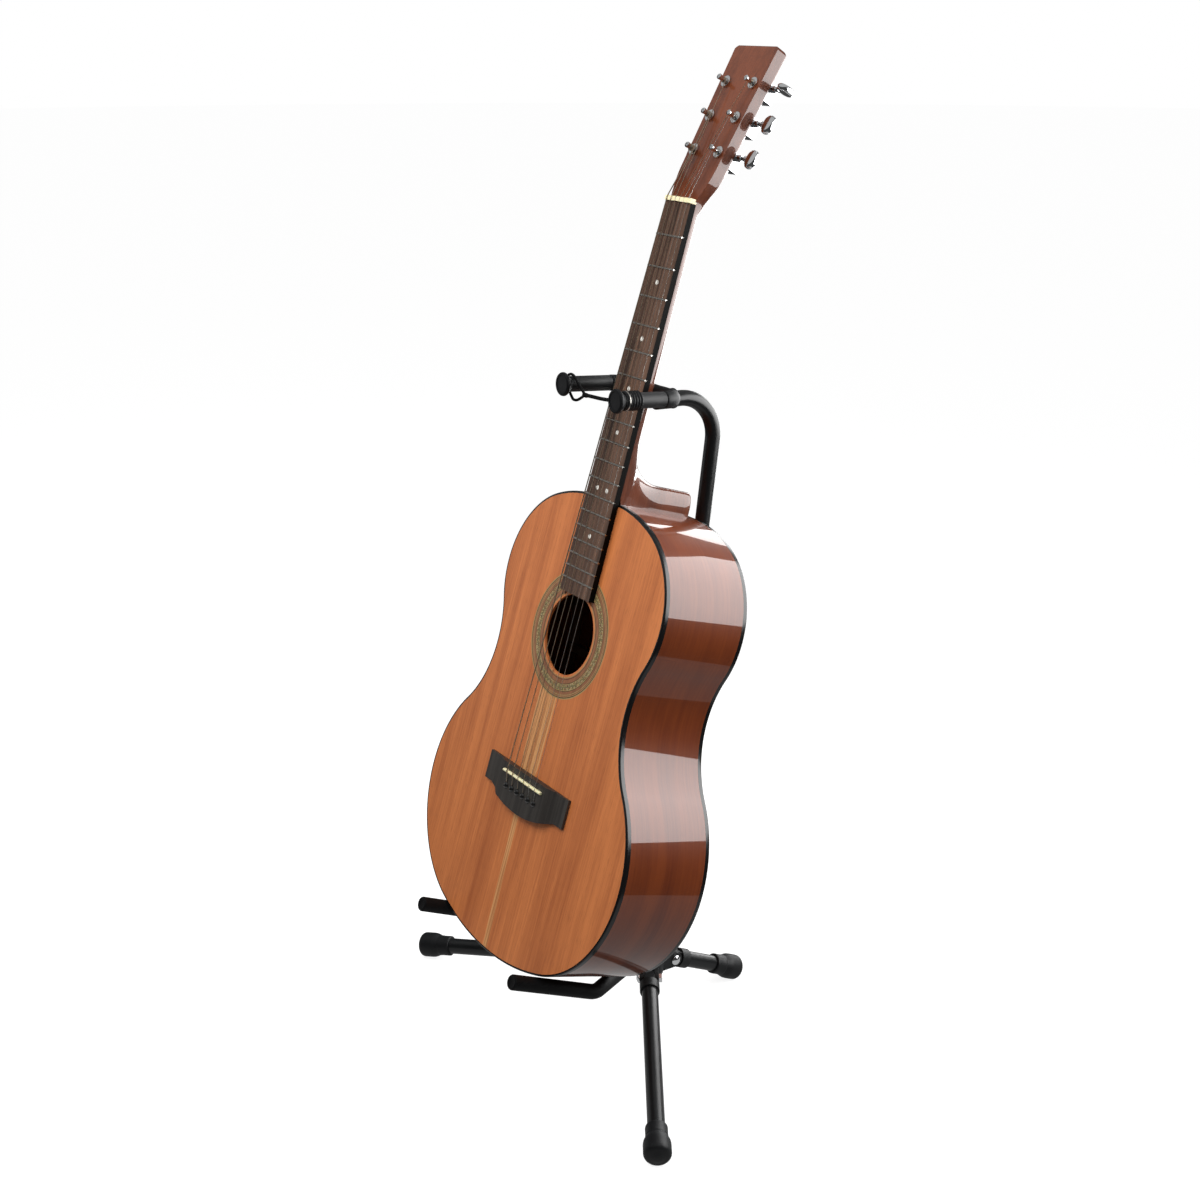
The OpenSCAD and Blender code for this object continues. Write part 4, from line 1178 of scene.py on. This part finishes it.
def lit_sheet(name, verts, faces, glow, color=0.0):
    """A flat or curved sheet of the studio, with a little light of its own."""
    mesh = bpy.data.meshes.new(name)
    mesh.from_pydata(verts, [], faces)
    sheet = add_object(name, mesh)
    paint = Paint(name, (color, color, color), 1.0, Specular_IOR_Level=0.0, Emission_Strength=glow)
    paint.set(paint.shader, {"Emission Color": (1.0, 1.0, 1.0)})
    mesh.materials.append(paint.material)
    return sheet


def seen_only_by(sheet, **rays):
    """Hides a sheet from every kind of ray that isn't named."""
    for kind in ("camera", "diffuse", "glossy", "transmission", "shadow"):
        setattr(sheet, f"visible_{kind}", rays.get(kind, False))


def disc(radius, z, sides=96):
    turns = [2 * pi * k / sides for k in range(sides)]
    return [(radius * cos(a), radius * sin(a), z) for a in turns]


def drum(radius, low, high, sides=48):
    """A round wall: two rings of points, and the faces between them."""
    verts = disc(radius, low, sides) + disc(radius, high, sides)
    faces = [(k, (k + 1) % sides, sides + (k + 1) % sides, sides + k) for k in range(sides)]
    return verts, faces


def build_studio():
    wide = 30
    ground = [(-wide, -wide, 0), (wide, -wide, 0), (wide, wide, 0), (-wide, wide, 0)]
    floor = lit_sheet("studio_floor", ground, [(0, 1, 2, 3)], 0.86, 0.3)
    seen_only_by(floor, camera=True, shadow=True)
    backdrop = lit_sheet("studio_backdrop", *drum(20, -1, 30), 1.0)
    seen_only_by(backdrop, camera=True)
    below = lit_sheet("dark_below", [(x, y, -0.02) for x, y, _ in ground], [(0, 1, 2, 3)], 0.06)
    seen_only_by(below, diffuse=True, glossy=True)
    rim = disc(0.7, -0.01)
    paper = lit_sheet("paper_below", rim, [tuple(range(len(rim)))], 0.42)
    seen_only_by(paper, diffuse=True, glossy=True)
    edges = [toward(azimuth, 0, 2.3) for azimuth in (-78, -36)]
    ahead = [(x, y, z) for x, y, _ in edges for z in (0.2, 1.15)]
    card_ahead = lit_sheet("card_ahead", ahead, [(0, 1, 3, 2)], 0.55)
    seen_only_by(card_ahead, glossy=True)
    wall = lit_sheet("dark_wall", *drum(2.6, -0.02, 2.4), 0.05)
    seen_only_by(wall, glossy=True)
    world = bpy.data.worlds.new("studio")
    bpy.context.scene.world = world
    world.use_nodes = True
    sky = world.node_tree.nodes["Background"]
    sky.inputs["Color"].default_value = (1, 1, 1, 1)
    sky.inputs["Strength"].default_value = 0.42
    softbox("window_right", 150, 0.91, 1.05, 1.3, 0.88, 6.2, 0.91)
    softbox("window_back", 203, 0.6, 1.1, 0.5, 0.9, 5.0, 0.6)
    front = softbox("fill_front", -12, 1.55, 0.85, 1.2, 0.8, 5.0, 0.6)
    over = softbox("fill_top", 70, 2.2, 0.5, 1.2, 1.2, 2.0, 0.5)
    for fill in (front, over):
        fill.visible_glossy = False
    bpy.context.scene.view_settings.view_transform = "Standard"


build_camera()
build_studio()
build_top()
build_rosette()
build_ribs()
build_bindings()
build_back()
build_inside()
build_neck()
build_fretboard()
build_strings()
build_tuners()
build_legs()
build_mast()
build_cradle()
build_yoke()
